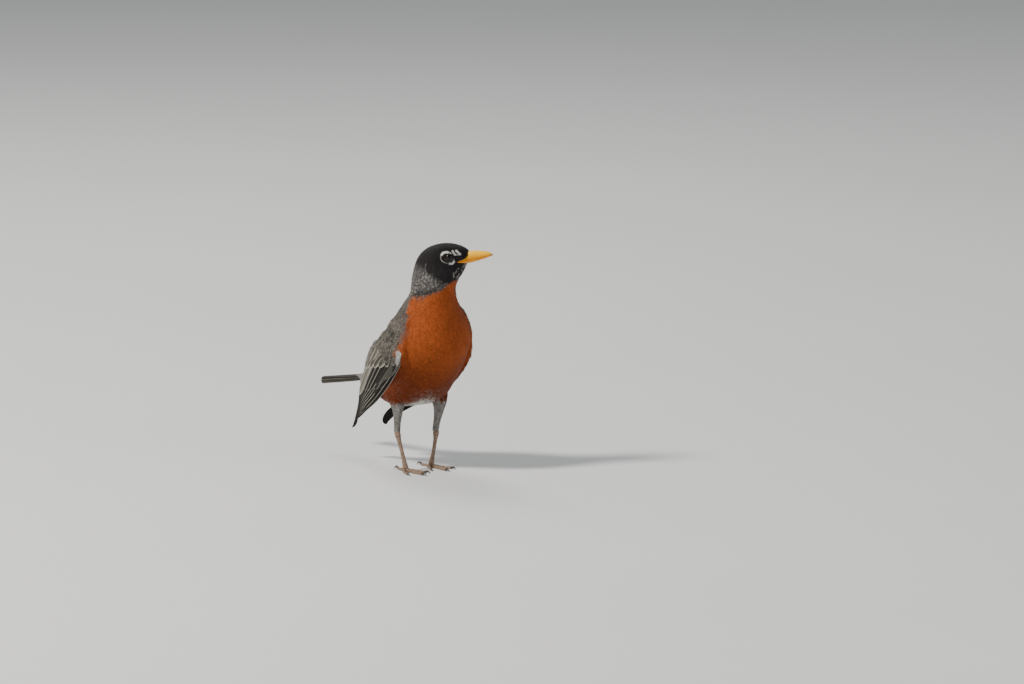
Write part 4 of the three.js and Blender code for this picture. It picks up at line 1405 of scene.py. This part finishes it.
def tail_points(along, across):
    wide = TAIL_HALF_WIDTHS[0] + (TAIL_HALF_WIDTHS[1] - TAIL_HALF_WIDTHS[0]) * along
    x, y = -TAIL_LENGTH * along, across * wide
    z = -(TAIL_ARCH * across ** 2 + TAIL_STEP * TAIL_PAIRS * np.abs(across)) * (1 - TAIL_CLOSE * along)
    cos, sin = math.cos(TAIL_DROP), math.sin(TAIL_DROP)
    return np.stack([TAIL_ROOT[0] + x * cos - z * sin, y, TAIL_ROOT[1] + x * sin + z * cos], axis=-1)


def make_tail():
    finish = quill_finish("tail_vanes", 0.09, 0.5, 0.25)
    sheet = Sheet(tail_points, np.linspace(0, 1, 61), np.linspace(-1, 1, 81), inside=(-70, 0, 0))
    blades, colours = [], []
    for pair in range(TAIL_PAIRS - 1, -1, -1):
        end = 1 - TAIL_ROUND / TAIL_LENGTH * (pair / TAIL_PAIRS) ** 2
        outmost = pair == len(TAIL_EDGES)
        pale = colour("belly") * 0.7 if outmost else colour("quill_edge") * TAIL_EDGES[pair]
        for side in (1, -1):
            place = side * (pair + 0.4) / TAIL_PAIRS
            level = -0.5 * pair - 0.2 * (side < 0)
            rings, spot = blade(sheet, (0.34, place * 0.5), (end, place * 0.86), (1.9, 4.6)[::side],
                                (level, level), 0.0, 0.05, 0.8)
            blades.append((rings, spot * [side, 1]))
            colours.append((colour("quill") * TAIL_VANES[pair], pale))
    quill_piece("tail_feathers", finish, blades, colours, 80, ("tail",))


# ---- bill ----
def dent(share, cos, place, length, flank, width):
    """1 in the middle of a hollow in each flank of the bill, and 0 away from it."""
    return np.exp(-((share - place) / length) ** 2 - ((np.abs(cos) - flank) / width) ** 2)


def bill_points(direction, depths, share, around):
    """Around runs 0 to half a turn over the bill from its left edge to its right."""
    x = GAPE[0] + (BILL_TIP[0] - GAPE[0]) * share
    deep = profile(depths, share)
    cos, sin = np.cos(around), np.sin(around)
    upper = direction > 0
    ridge = 0.12 * deep * np.exp(-(cos / 0.22) ** 2) * upper
    hollow = 0.5 * dent(share, cos, 0.27, 0.1, 0.72, 0.13)
    nostril = 0.55 * dent(share, cos, 0.3, 0.035, 0.76, 0.07)
    inward = (hollow + nostril) * upper
    hook = 0.5 * np.exp(-((share - 0.97) / 0.03) ** 2) * upper
    y = (profile(BILL_WIDTH, share) - inward) * cos
    base = mouth_height(share) + direction * 0.15 - hook
    z = base + direction * (deep + ridge - 0.4 * inward) * np.maximum(sin, 0) ** 0.85
    return from_head(np.stack([x, y, z], axis=-1))


def bill_half(part, direction, depths, ridge):
    """A closed half of the bill. Its attribute holds the place along it, across it and up from the mouth."""
    share = 1 - (1 - np.linspace(0, 1, 61)) ** 1.3
    along, around = np.meshgrid(share, np.linspace(0, math.pi, 41), indexing="ij")
    over = bill_points(direction, depths, along, around)
    across = np.linspace(-1, 1, 9)[1:-1]
    under = over[:, -1:] + (over[:, :1] - over[:, -1:]) * ((across + 1) / 2)[None, :, None]
    points, faces = closed_loft(np.concatenate([over, under], axis=1))
    below = (len(share), len(across))
    horn = np.stack([
        np.concatenate([along, np.broadcast_to(share[:, None], below)], axis=1),
        np.concatenate([np.cos(around), np.broadcast_to(across, below)], axis=1),
        np.concatenate([np.sin(around), np.zeros(below)], axis=1),
    ], axis=-1)
    horn = np.concatenate([horn.reshape(-1, 3), LOFT_ENDS])
    finish = bill_finish(f"{part}_bill", ridge)
    piece = mesh_object(f"bill_{part}_horn", points, faces, finish, (("horn", horn),))
    settle(piece, "bill_horn", f"bill_{part}")


def bill_finish(name, ridge):
    """Horn with a warm edge, a ridge of its own colour, a dusky tip and dark nostrils; the upper half's
    lighter yellow toward its top is partly its own and partly painted highlight.
    """
    finish = Finish(name)
    along, flank, height = finish.parts(finish.attribute("horn"))
    grain = finish.noise(700, 5)
    streak = finish.noise(1.0, 4.0, finish.stretched("horn", (5, 30, 30)))
    # Toward the top the warm edge gives way to the ridge's colour: on the upper half this lighter yellow is
    # partly the bill's own and partly painted highlight.
    warm = finish.mix(height.step(0.1, 0.75) * 0.75 + along * 0.25, colour("bill_warm"), colour(ridge))
    tip = along.step(0.86, 1.0) * (streak * 0.8 + 0.5)
    shade = finish.mix(tip * 0.85, warm, colour("bill_tip"))
    nostril = 1 - (along - 0.3).size().step(0.015, 0.04)
    nostril = nostril * (1 - (flank.size() - 0.76).size().step(0.03, 0.09))
    shade = finish.mix(nostril * 0.9, shade, (0.05, 0.025, 0.01))
    light = streak * 0.3 + grain * 0.16 + 0.77
    return finish.surface(
        Base_Color=finish.scaled(shade, light),
        Roughness=streak * 0.2 + 0.28,
        Normal=finish.bump(streak + grain * 0.4, 0.18, 0.0002),
        Specular_IOR_Level=0.22,
    )


BRISTLES = 6
BRISTLE_LENGTH = 6.5
BRISTLE_RADII = (0.102, 0.012)   # at the root and at the tip


def make_bristles():
    """Stiff dark hairs at the corners of the mouth."""
    parts = []
    share = np.linspace(0, 1, 9)
    ring = np.array([(0, math.cos(angle), math.sin(angle)) for angle in (0, math.tau / 3, 2 * math.tau / 3)])
    radius = (BRISTLE_RADII[0] - BRISTLE_RADII[1]) * (1 - share) + BRISTLE_RADII[1]
    for _, side in SIDES:
        for index in range(BRISTLES):
            start = np.array([22.5 - 1.0 * index, side * (6.9 + 0.35 * index), GAPE[1] + 2.2 - 0.5 * index])
            sweep = np.array([0.86, side * (0.42 + 0.03 * index), 0.28 - 0.16 * index])
            path = start + unit(sweep) * BRISTLE_LENGTH * (1 - 0.07 * index) * share[:, None]
            path[:, 2] -= 1.4 * share ** 2
            parts.append(closed_loft(from_head(path[:, None] + ring * radius[:, None, None])))
    finish = Finish("bristle")
    grain = finish.noise(2000, 2)
    material = finish.surface(
        Base_Color=finish.mix(grain, colour("cap"), colour("cap_edge")),
        Roughness=grain * 0.2 + 0.35,
    )
    settle(mesh_object("bristles", *joined(parts), material), "black_feather")


def make_bill():
    bill_half("upper", 1, UPPER_DEPTH, "bill")
    bill_half("lower", -1, LOWER_DEPTH, "bill_warm")
    make_bristles()


# ---- eyes ----
EYE_RISE = 0.06                  # how far up an eye's axis runs for each step outward
CORNEA_RISE = 0.28
LID_OPENING = (3.35, 3.15)       # half its width and height
LID_ROLL = 0.42                  # the radius of its edge


def eye_frame(side):
    """The eye's centre, its axis, and the directions forward and up across it, in the head's frame."""
    axis = unit(np.array([EYE_LEAN, side, EYE_RISE]))
    forward = unit(np.array([1.0, 0, 0]) - axis * axis[0])
    up = np.cross(forward, axis)
    return EYE * [1, side, 1], axis, forward, up * np.sign(up[2])


def eye_finish():
    """A black pupil in a dark brown ring, under a clear coat."""
    finish = Finish("eye_gloss")
    across = finish.parts(finish.attribute("gaze"))[0]
    rays = finish.noise(4.0, 5.0, finish.stretched("gaze", (2.0, 9.0, 1.0)))
    iris = finish.scaled(finish.mix(rays, colour("iris"), colour("iris") * 2.2), rays * 0.8 + 0.5)
    pupil = across.step(0.52, 0.6)
    ring = finish.mix(pupil, (0.002, 0.002, 0.002), iris)
    whole = finish.mix(across.step(0.66, 0.8), ring, (0.008, 0.006, 0.005))
    return finish.surface(
        Base_Color=whole,
        Roughness=rays * 0.02 + 0.05,
        Specular_IOR_Level=0.22,
        Coat_Weight=0.14,
        Coat_Roughness=0.03,
    )


def lid_finish():
    finish = Finish("eyelid")
    grain = finish.noise(2600, 4)
    return finish.surface(
        Base_Color=finish.mix(grain, (0.009, 0.008, 0.008), (0.028, 0.024, 0.023)),
        Roughness=grain * 0.3 + 0.45,
        Normal=finish.bump(grain, 0.5, 0.0001),
    )


def round_axis(angle, forward, up):
    """The direction across an eye at an angle from forward toward up."""
    return np.cos(angle)[..., None] * forward + np.sin(angle)[..., None] * up


def make_eyeball(name, centre, axis, forward, up, finish):
    """A ball with a raised cornea. Its attribute holds the distance from the axis and its two parts."""
    tilt, turn = lattice((0.02, math.pi - 0.02), FULL_TURN, 49, 64, True)
    cornea = CORNEA_RISE * soft_step(0.85, 0.25, np.sin(tilt)) * (tilt < math.pi / 2)
    radius = (EYE_RADIUS + cornea)[..., None]
    flat = round_axis(turn, forward, up)
    rings = centre + radius * (np.cos(tilt)[..., None] * axis + np.sin(tilt)[..., None] * flat)
    points, faces = closed_loft(from_head(rings))
    away = np.where(tilt < math.pi / 2, np.sin(tilt), 1)
    gaze = np.stack([away, np.cos(turn) * away, np.sin(turn) * away], axis=-1).reshape(-1, 3)
    gaze = np.concatenate([gaze, LOFT_ENDS])
    piece = mesh_object(f"eye_{name}_ball", points, faces, finish, (("gaze", gaze),))
    settle(piece, "eye", f"eye_{name}")


def make_eyelid(name, centre, axis, forward, up, finish):
    """A closed tube with wrinkles that lies on the ball round the opening."""
    angle, roll = (places[:-1] for places in lattice(FULL_TURN, FULL_TURN, 73, 16, True))
    wide, tall = LID_OPENING
    wide = wide * (1 + 0.05 * np.cos(2 * angle))
    out = unit(round_axis(angle, forward, up))
    rim = np.cos(angle)[..., None] * forward * wide[..., None] + np.sin(angle)[..., None] * up * tall
    stand = np.sqrt(EYE_RADIUS ** 2 - np.sum(rim * rim, axis=-1, keepdims=True)) + 0.12
    wrinkle = LID_ROLL * (1 + 0.12 * np.sin(19 * angle) * np.cos(roll))
    tube = wrinkle[..., None] * (np.cos(roll)[..., None] * out + np.sin(roll)[..., None] * axis)
    rows, columns = angle.shape
    faces = strip_faces(rows + 1, columns, True) % (rows * columns)
    points = from_head(centre + rim + axis * stand + tube)
    settle(mesh_object(f"eyelid_{name}", points, faces, finish), "black_feather")


def make_eyes():
    gloss, lid = eye_finish(), lid_finish()
    for name, side in SIDES:
        make_eyeball(name, *eye_frame(side), gloss)
        make_eyelid(name, *eye_frame(side), lid)


# ---- legs ----
LEGS = {
    "left": {"side": 1, "heel": (-1.8, 17.7, 28.5), "foot": (-2.3, 13.5)},
    "right": {"side": -1, "heel": (-1.7, -17.7, 30.5), "foot": (6, -15)},
}
TARSUS_RADII = [2.0, 2.4, 1.8, 1.55, 1.5, 1.5, 1.6, 1.9, 2.3]
TARSUS_SCUTES = 11
FOOT_HEIGHT = 2.6
TOES = (
    # name, heading, set to the side, length, radius, claw, joints
    ("hallux", 176, 0, 11.5, 1.25, 7.5, 1),
    ("inner", 25, 2.5, 15, 1.15, 5, 2),
    ("middle", 2, 0, 22.5, 1.3, 5.6, 3),
    ("outer", -20, -2.5, 16.5, 1.1, 4.8, 4),
)
TOE_LIFT = 0.86                  # how high a toe's middle lies, as a share of its thickness
TOE_SCUTE = 1.5                  # the length of each scute on a toe
CLAW_RADII = [0.8, 0.86, 0.78, 0.6, 0.38, 0.08]
CLAW_GAP = 0.3                   # between a toe's end and its claw
CLAW_STRETCH = 1.15              # a claw is this much taller than it is wide


def leg_finish():
    finish = Finish("leg_scales")
    ridge = finish.parts(finish.attribute("scute"))[2]
    grain = finish.noise(900, 5)
    fine = finish.noise(3600, 2)
    shade = finish.mix(grain.step(0.3, 0.7), colour("leg") * 0.7, colour("leg") * 1.35)
    shade = finish.mix(ridge * 0.65, shade, colour("leg") * 0.3)
    return finish.surface(
        Base_Color=shade,
        Roughness=grain * 0.25 + 0.38,
        Normal=finish.bump(grain * 0.6 + fine * 0.4, 0.4, 0.00015),
        Specular_IOR_Level=0.4,
    )


def claw_finish():
    finish = Finish("claw_horn")
    along = finish.parts(finish.attribute("scute"))[0]
    grain = finish.noise(1500, 4)
    shade = finish.mix(along * 0.7 + grain * 0.3, colour("claw") * 2.4, colour("claw"))
    return finish.surface(
        Base_Color=shade,
        Roughness=grain * 0.2 + 0.25,
        Normal=finish.bump(grain, 0.2, 0.0001),
    )


def scaled_limb(name, slot, finish, path, radii, scutes, up, node, rows, columns=28, depth=0.09,
                stretch=1.0):
    """A limb with scutes: rings stepped across its front, with closed ends, and never under the floor."""
    along, around = lattice((0, 1), FULL_TURN, rows, columns, True)
    plain = tube_points(path, radii, along, around, up, stretch)
    inner = tube_points(path, [radius * 0.9 for radius in radii], along, around, up, stretch)
    saw = (along * scutes) % 1
    front = soft_step(-0.2, 0.5, np.sin(around)) * (scutes > 0)
    groove = (soft_step(0.82, 1.0, saw) + soft_step(0.12, 0.0, saw)) * front
    rise = depth * (saw - 0.5) * front
    rings = plain + unit(plain - inner) * (rise - depth * groove)[..., None]
    rings[..., 2] = np.maximum(rings[..., 2], 0)
    scute = np.stack([along, np.cos(around), groove], axis=-1).reshape(-1, 3)
    scute = np.concatenate([scute, LOFT_ENDS])
    settle(mesh_object(name, *closed_loft(rings), finish, (("scute", scute),)), slot, node)


def make_legs():
    scales, horn = leg_finish(), claw_finish()
    for name, leg in LEGS.items():
        (hx, hy, hz), (fx, fy) = leg["heel"], leg["foot"]
        path = [(hx - 0.4, hy, hz + 1.2), (hx, hy, hz - 1), ((hx + fx) / 2 + 0.5, (hy + fy) / 2, hz / 2),
                (fx, fy, FOOT_HEIGHT)]
        scaled_limb(f"tarsus_{name}_scales", "leg_scale", scales, path, TARSUS_RADII, TARSUS_SCUTES,
                    (1, 0, 0), f"tarsus_{name}", rows=161, depth=0.05)
        for toe in TOES:
            make_toe(name, leg, toe, scales, horn)


def make_toe(leg_name, leg, toe, scales, horn):
    """A toe of knuckles that lies on the floor, and its claw, which arches from its end to the floor."""
    name, heading, apart, length, radius, claw, joints = toe
    side, (x, y) = leg["side"], leg["foot"]
    turn = math.radians(-side * heading)

    def place(reach, height, aside=1.0):
        return x + math.cos(turn) * reach, y + math.sin(turn) * reach - side * apart * aside, height

    def thickness(share):
        return radius * (1.08 - 0.22 * share)

    count = 2 * joints + 3
    knuckles = [thickness(i / (count - 1)) * (0.93 if i % 2 else 1.06) for i in range(count)]
    level = thickness(1) * TOE_LIFT
    path = [place(0.6, FOOT_HEIGHT * 0.62, 0.35), place(3.9, thickness(0.2) * TOE_LIFT),
            place(length, level)]
    scaled_limb(f"toe_{leg_name}_{name}_scales", "leg_scale", scales, path, knuckles,
                int(length / TOE_SCUTE), (0, 0, 1), f"toe_{leg_name}_{name}", rows=81, depth=0.1)
    root, arch = length + CLAW_GAP, claw * 0.16
    path = [place(root - 0.9, level), place(root, level * 1.02), place(root + claw * 0.45, level + arch),
            place(root + claw * 0.8, level * 0.8), place(root + claw * 0.97, 0.2)]
    scaled_limb(f"claw_{leg_name}_{name}_horn", "claw_horn", horn, path, CLAW_RADII, 0, (0, 0, 1),
                f"claw_{leg_name}_{name}", rows=41, columns=18, stretch=CLAW_STRETCH)


# ---- stage ----
VIEW_TURN = math.radians(57)
VIEW_HEIGHT = math.radians(8)
VIEW_DISTANCE = 8.0
VIEW_SPAN = 1024 * 0.77 * MM     # how wide the frame is at the bird
SENSOR = 36.0
AIM_RIGHT, AIM_UP = 0.0724, 0.0978    # from the bird's own origin to the middle of the frame
SKY = (0.9, 0.94, 1.0, 1)
SKY_STRENGTH = 0.27
FLOOR_REACH = 60.0               # metres to each side
FLOOR_DROP = 0.1                 # millimetres under the feet
LAMP_AIM = 0.09                  # metres up from the floor
LAMPS = (
    # name, where it stands as metres to the camera's right, toward the camera and up, size, power, colour
    ("key", (-2.0, 1.1, 2.3), 0.6, 125, (1.0, 0.965, 0.9)),
    ("fill", (1.9, 1.5, 0.9), 1.6, 12, (0.92, 0.96, 1.0)),
    ("rim", (-0.6, -1.8, 1.9), 1.0, 26, (1.0, 0.98, 0.95)),
)


def make_camera(right, back):
    camera = bpy.data.objects.new("camera", bpy.data.cameras.new("camera"))
    camera.data.sensor_width = SENSOR
    camera.data.lens = SENSOR * VIEW_DISTANCE / VIEW_SPAN
    camera.data.clip_end = 100
    target = SHIFT + right * AIM_RIGHT + np.cross(back, right) * AIM_UP
    camera.location = target + back * VIEW_DISTANCE
    camera.rotation_euler = (math.pi / 2 - VIEW_HEIGHT, 0, VIEW_TURN)
    bpy.context.scene.collection.objects.link(camera)
    bpy.context.scene.camera = camera


def make_sky():
    world = bpy.data.worlds.new("studio")
    world.use_nodes = True
    sky = world.node_tree.nodes["Background"].inputs
    sky["Color"].default_value = SKY
    sky["Strength"].default_value = SKY_STRENGTH
    bpy.context.scene.world = world


def make_floor():
    corners = [(x * FLOOR_REACH / MM, y * FLOOR_REACH / MM, -FLOOR_DROP)
               for x, y in ((-1, -1), (1, -1), (1, 1), (-1, 1))]
    finish = Finish("studio_floor")
    tone = finish.noise(3, 2)
    material = finish.surface(
        Base_Color=finish.mix(tone, (0.74, 0.75, 0.74), (0.78, 0.785, 0.78)),
        Roughness=tone * 0.1 + 0.8,
        Specular_IOR_Level=0.2,
    )
    floor = mesh_object("floor", corners, [[0, 1, 2, 3]], material, smooth=False)


def make_lamps(right, toward):
    middle = SHIFT + np.array([0, 0, LAMP_AIM])
    for name, (along, near, high), spread_of, power, tint in LAMPS:
        lamp = bpy.data.objects.new(name, bpy.data.lights.new(name, "AREA"))
        lamp.data.shape = "DISK"
        lamp.data.size = spread_of
        lamp.data.energy = power
        lamp.data.color = tint
        place = middle + right * along + toward * near + np.array([0, 0, high])
        lamp.location = place
        lamp.rotation_euler = Vector(place - middle).to_track_quat("Z", "Y").to_euler()
        bpy.context.scene.collection.objects.link(lamp)


def make_stage():
    right = np.array([math.cos(VIEW_TURN), math.sin(VIEW_TURN), 0])
    toward = np.array([math.sin(VIEW_TURN), -math.cos(VIEW_TURN), 0])
    back = toward * math.cos(VIEW_HEIGHT) + np.array([0, 0, math.sin(VIEW_HEIGHT)])
    make_camera(right, back)
    make_sky()
    make_floor()
    make_lamps(right, toward)


# ---- operators ----
class ROBIN_OT_skin(bpy.types.Operator):
    """Make the skin of the head, body and thighs"""
    bl_idname = "robin.skin"
    bl_label = "Skin"

    def execute(self, context):
        make_skin()
        return {"FINISHED"}


class ROBIN_OT_body_coat(bpy.types.Operator):
    """Lay the feathers of the head, neck and body"""
    bl_idname = "robin.body_coat"
    bl_label = "Body feathers"

    def execute(self, context):
        make_body_coat()
        make_thigh_coats()
        return {"FINISHED"}


class ROBIN_OT_wings(bpy.types.Operator):
    """Lay the flight feathers and coverts of both folded wings"""
    bl_idname = "robin.wings"
    bl_label = "Wings"

    def execute(self, context):
        make_wing_quills()
        make_wing_coverts()
        make_flank_tufts()
        return {"FINISHED"}


class ROBIN_OT_tail(bpy.types.Operator):
    """Lay the twelve tail feathers"""
    bl_idname = "robin.tail"
    bl_label = "Tail"

    def execute(self, context):
        make_tail()
        return {"FINISHED"}


class ROBIN_OT_bill(bpy.types.Operator):
    """Make both halves of the bill and the bristles at the mouth"""
    bl_idname = "robin.bill"
    bl_label = "Bill"

    def execute(self, context):
        make_bill()
        return {"FINISHED"}


class ROBIN_OT_eyes(bpy.types.Operator):
    """Make the eyes and their lids"""
    bl_idname = "robin.eyes"
    bl_label = "Eyes"

    def execute(self, context):
        make_eyes()
        return {"FINISHED"}


class ROBIN_OT_legs(bpy.types.Operator):
    """Make the scaled legs, the toes and the claws"""
    bl_idname = "robin.legs"
    bl_label = "Legs"

    def execute(self, context):
        make_legs()
        return {"FINISHED"}


class ROBIN_OT_stage(bpy.types.Operator):
    """Set the floor, lights and camera"""
    bl_idname = "robin.stage"
    bl_label = "Stage"

    def execute(self, context):
        make_stage()
        return {"FINISHED"}


OPERATORS = (
    ROBIN_OT_skin,
    ROBIN_OT_body_coat,
    ROBIN_OT_wings,
    ROBIN_OT_tail,
    ROBIN_OT_bill,
    ROBIN_OT_eyes,
    ROBIN_OT_legs,
    ROBIN_OT_stage,
)


class ROBIN_PT_panel(bpy.types.Panel):
    """The robin's pieces, sizes and colours"""
    bl_idname = "ROBIN_PT_panel"
    bl_label = "American robin"
    bl_space_type = "VIEW_3D"
    bl_region_type = "UI"
    bl_category = "Robin"

    def draw(self, context):
        for group in (context.scene.robin_sizes, context.scene.robin_colours):
            box = self.layout.box()
            for key in group.__annotations__:
                box.prop(group, key)
        for operator in OPERATORS:
            self.layout.operator(operator.bl_idname)


CLASSES = (RobinSizes, RobinColours, *OPERATORS, ROBIN_PT_panel)


def register():
    for each in CLASSES:
        bpy.utils.register_class(each)
    bpy.types.Scene.robin_sizes = PointerProperty(type=RobinSizes)
    bpy.types.Scene.robin_colours = PointerProperty(type=RobinColours)


def unregister():
    del bpy.types.Scene.robin_sizes
    del bpy.types.Scene.robin_colours
    for each in reversed(CLASSES):
        bpy.utils.unregister_class(each)


def main():
    register()
    for operator in OPERATORS:
        group, name = operator.bl_idname.split(".")
        getattr(getattr(bpy.ops, group), name)()


if __name__ == "__main__":
    main()
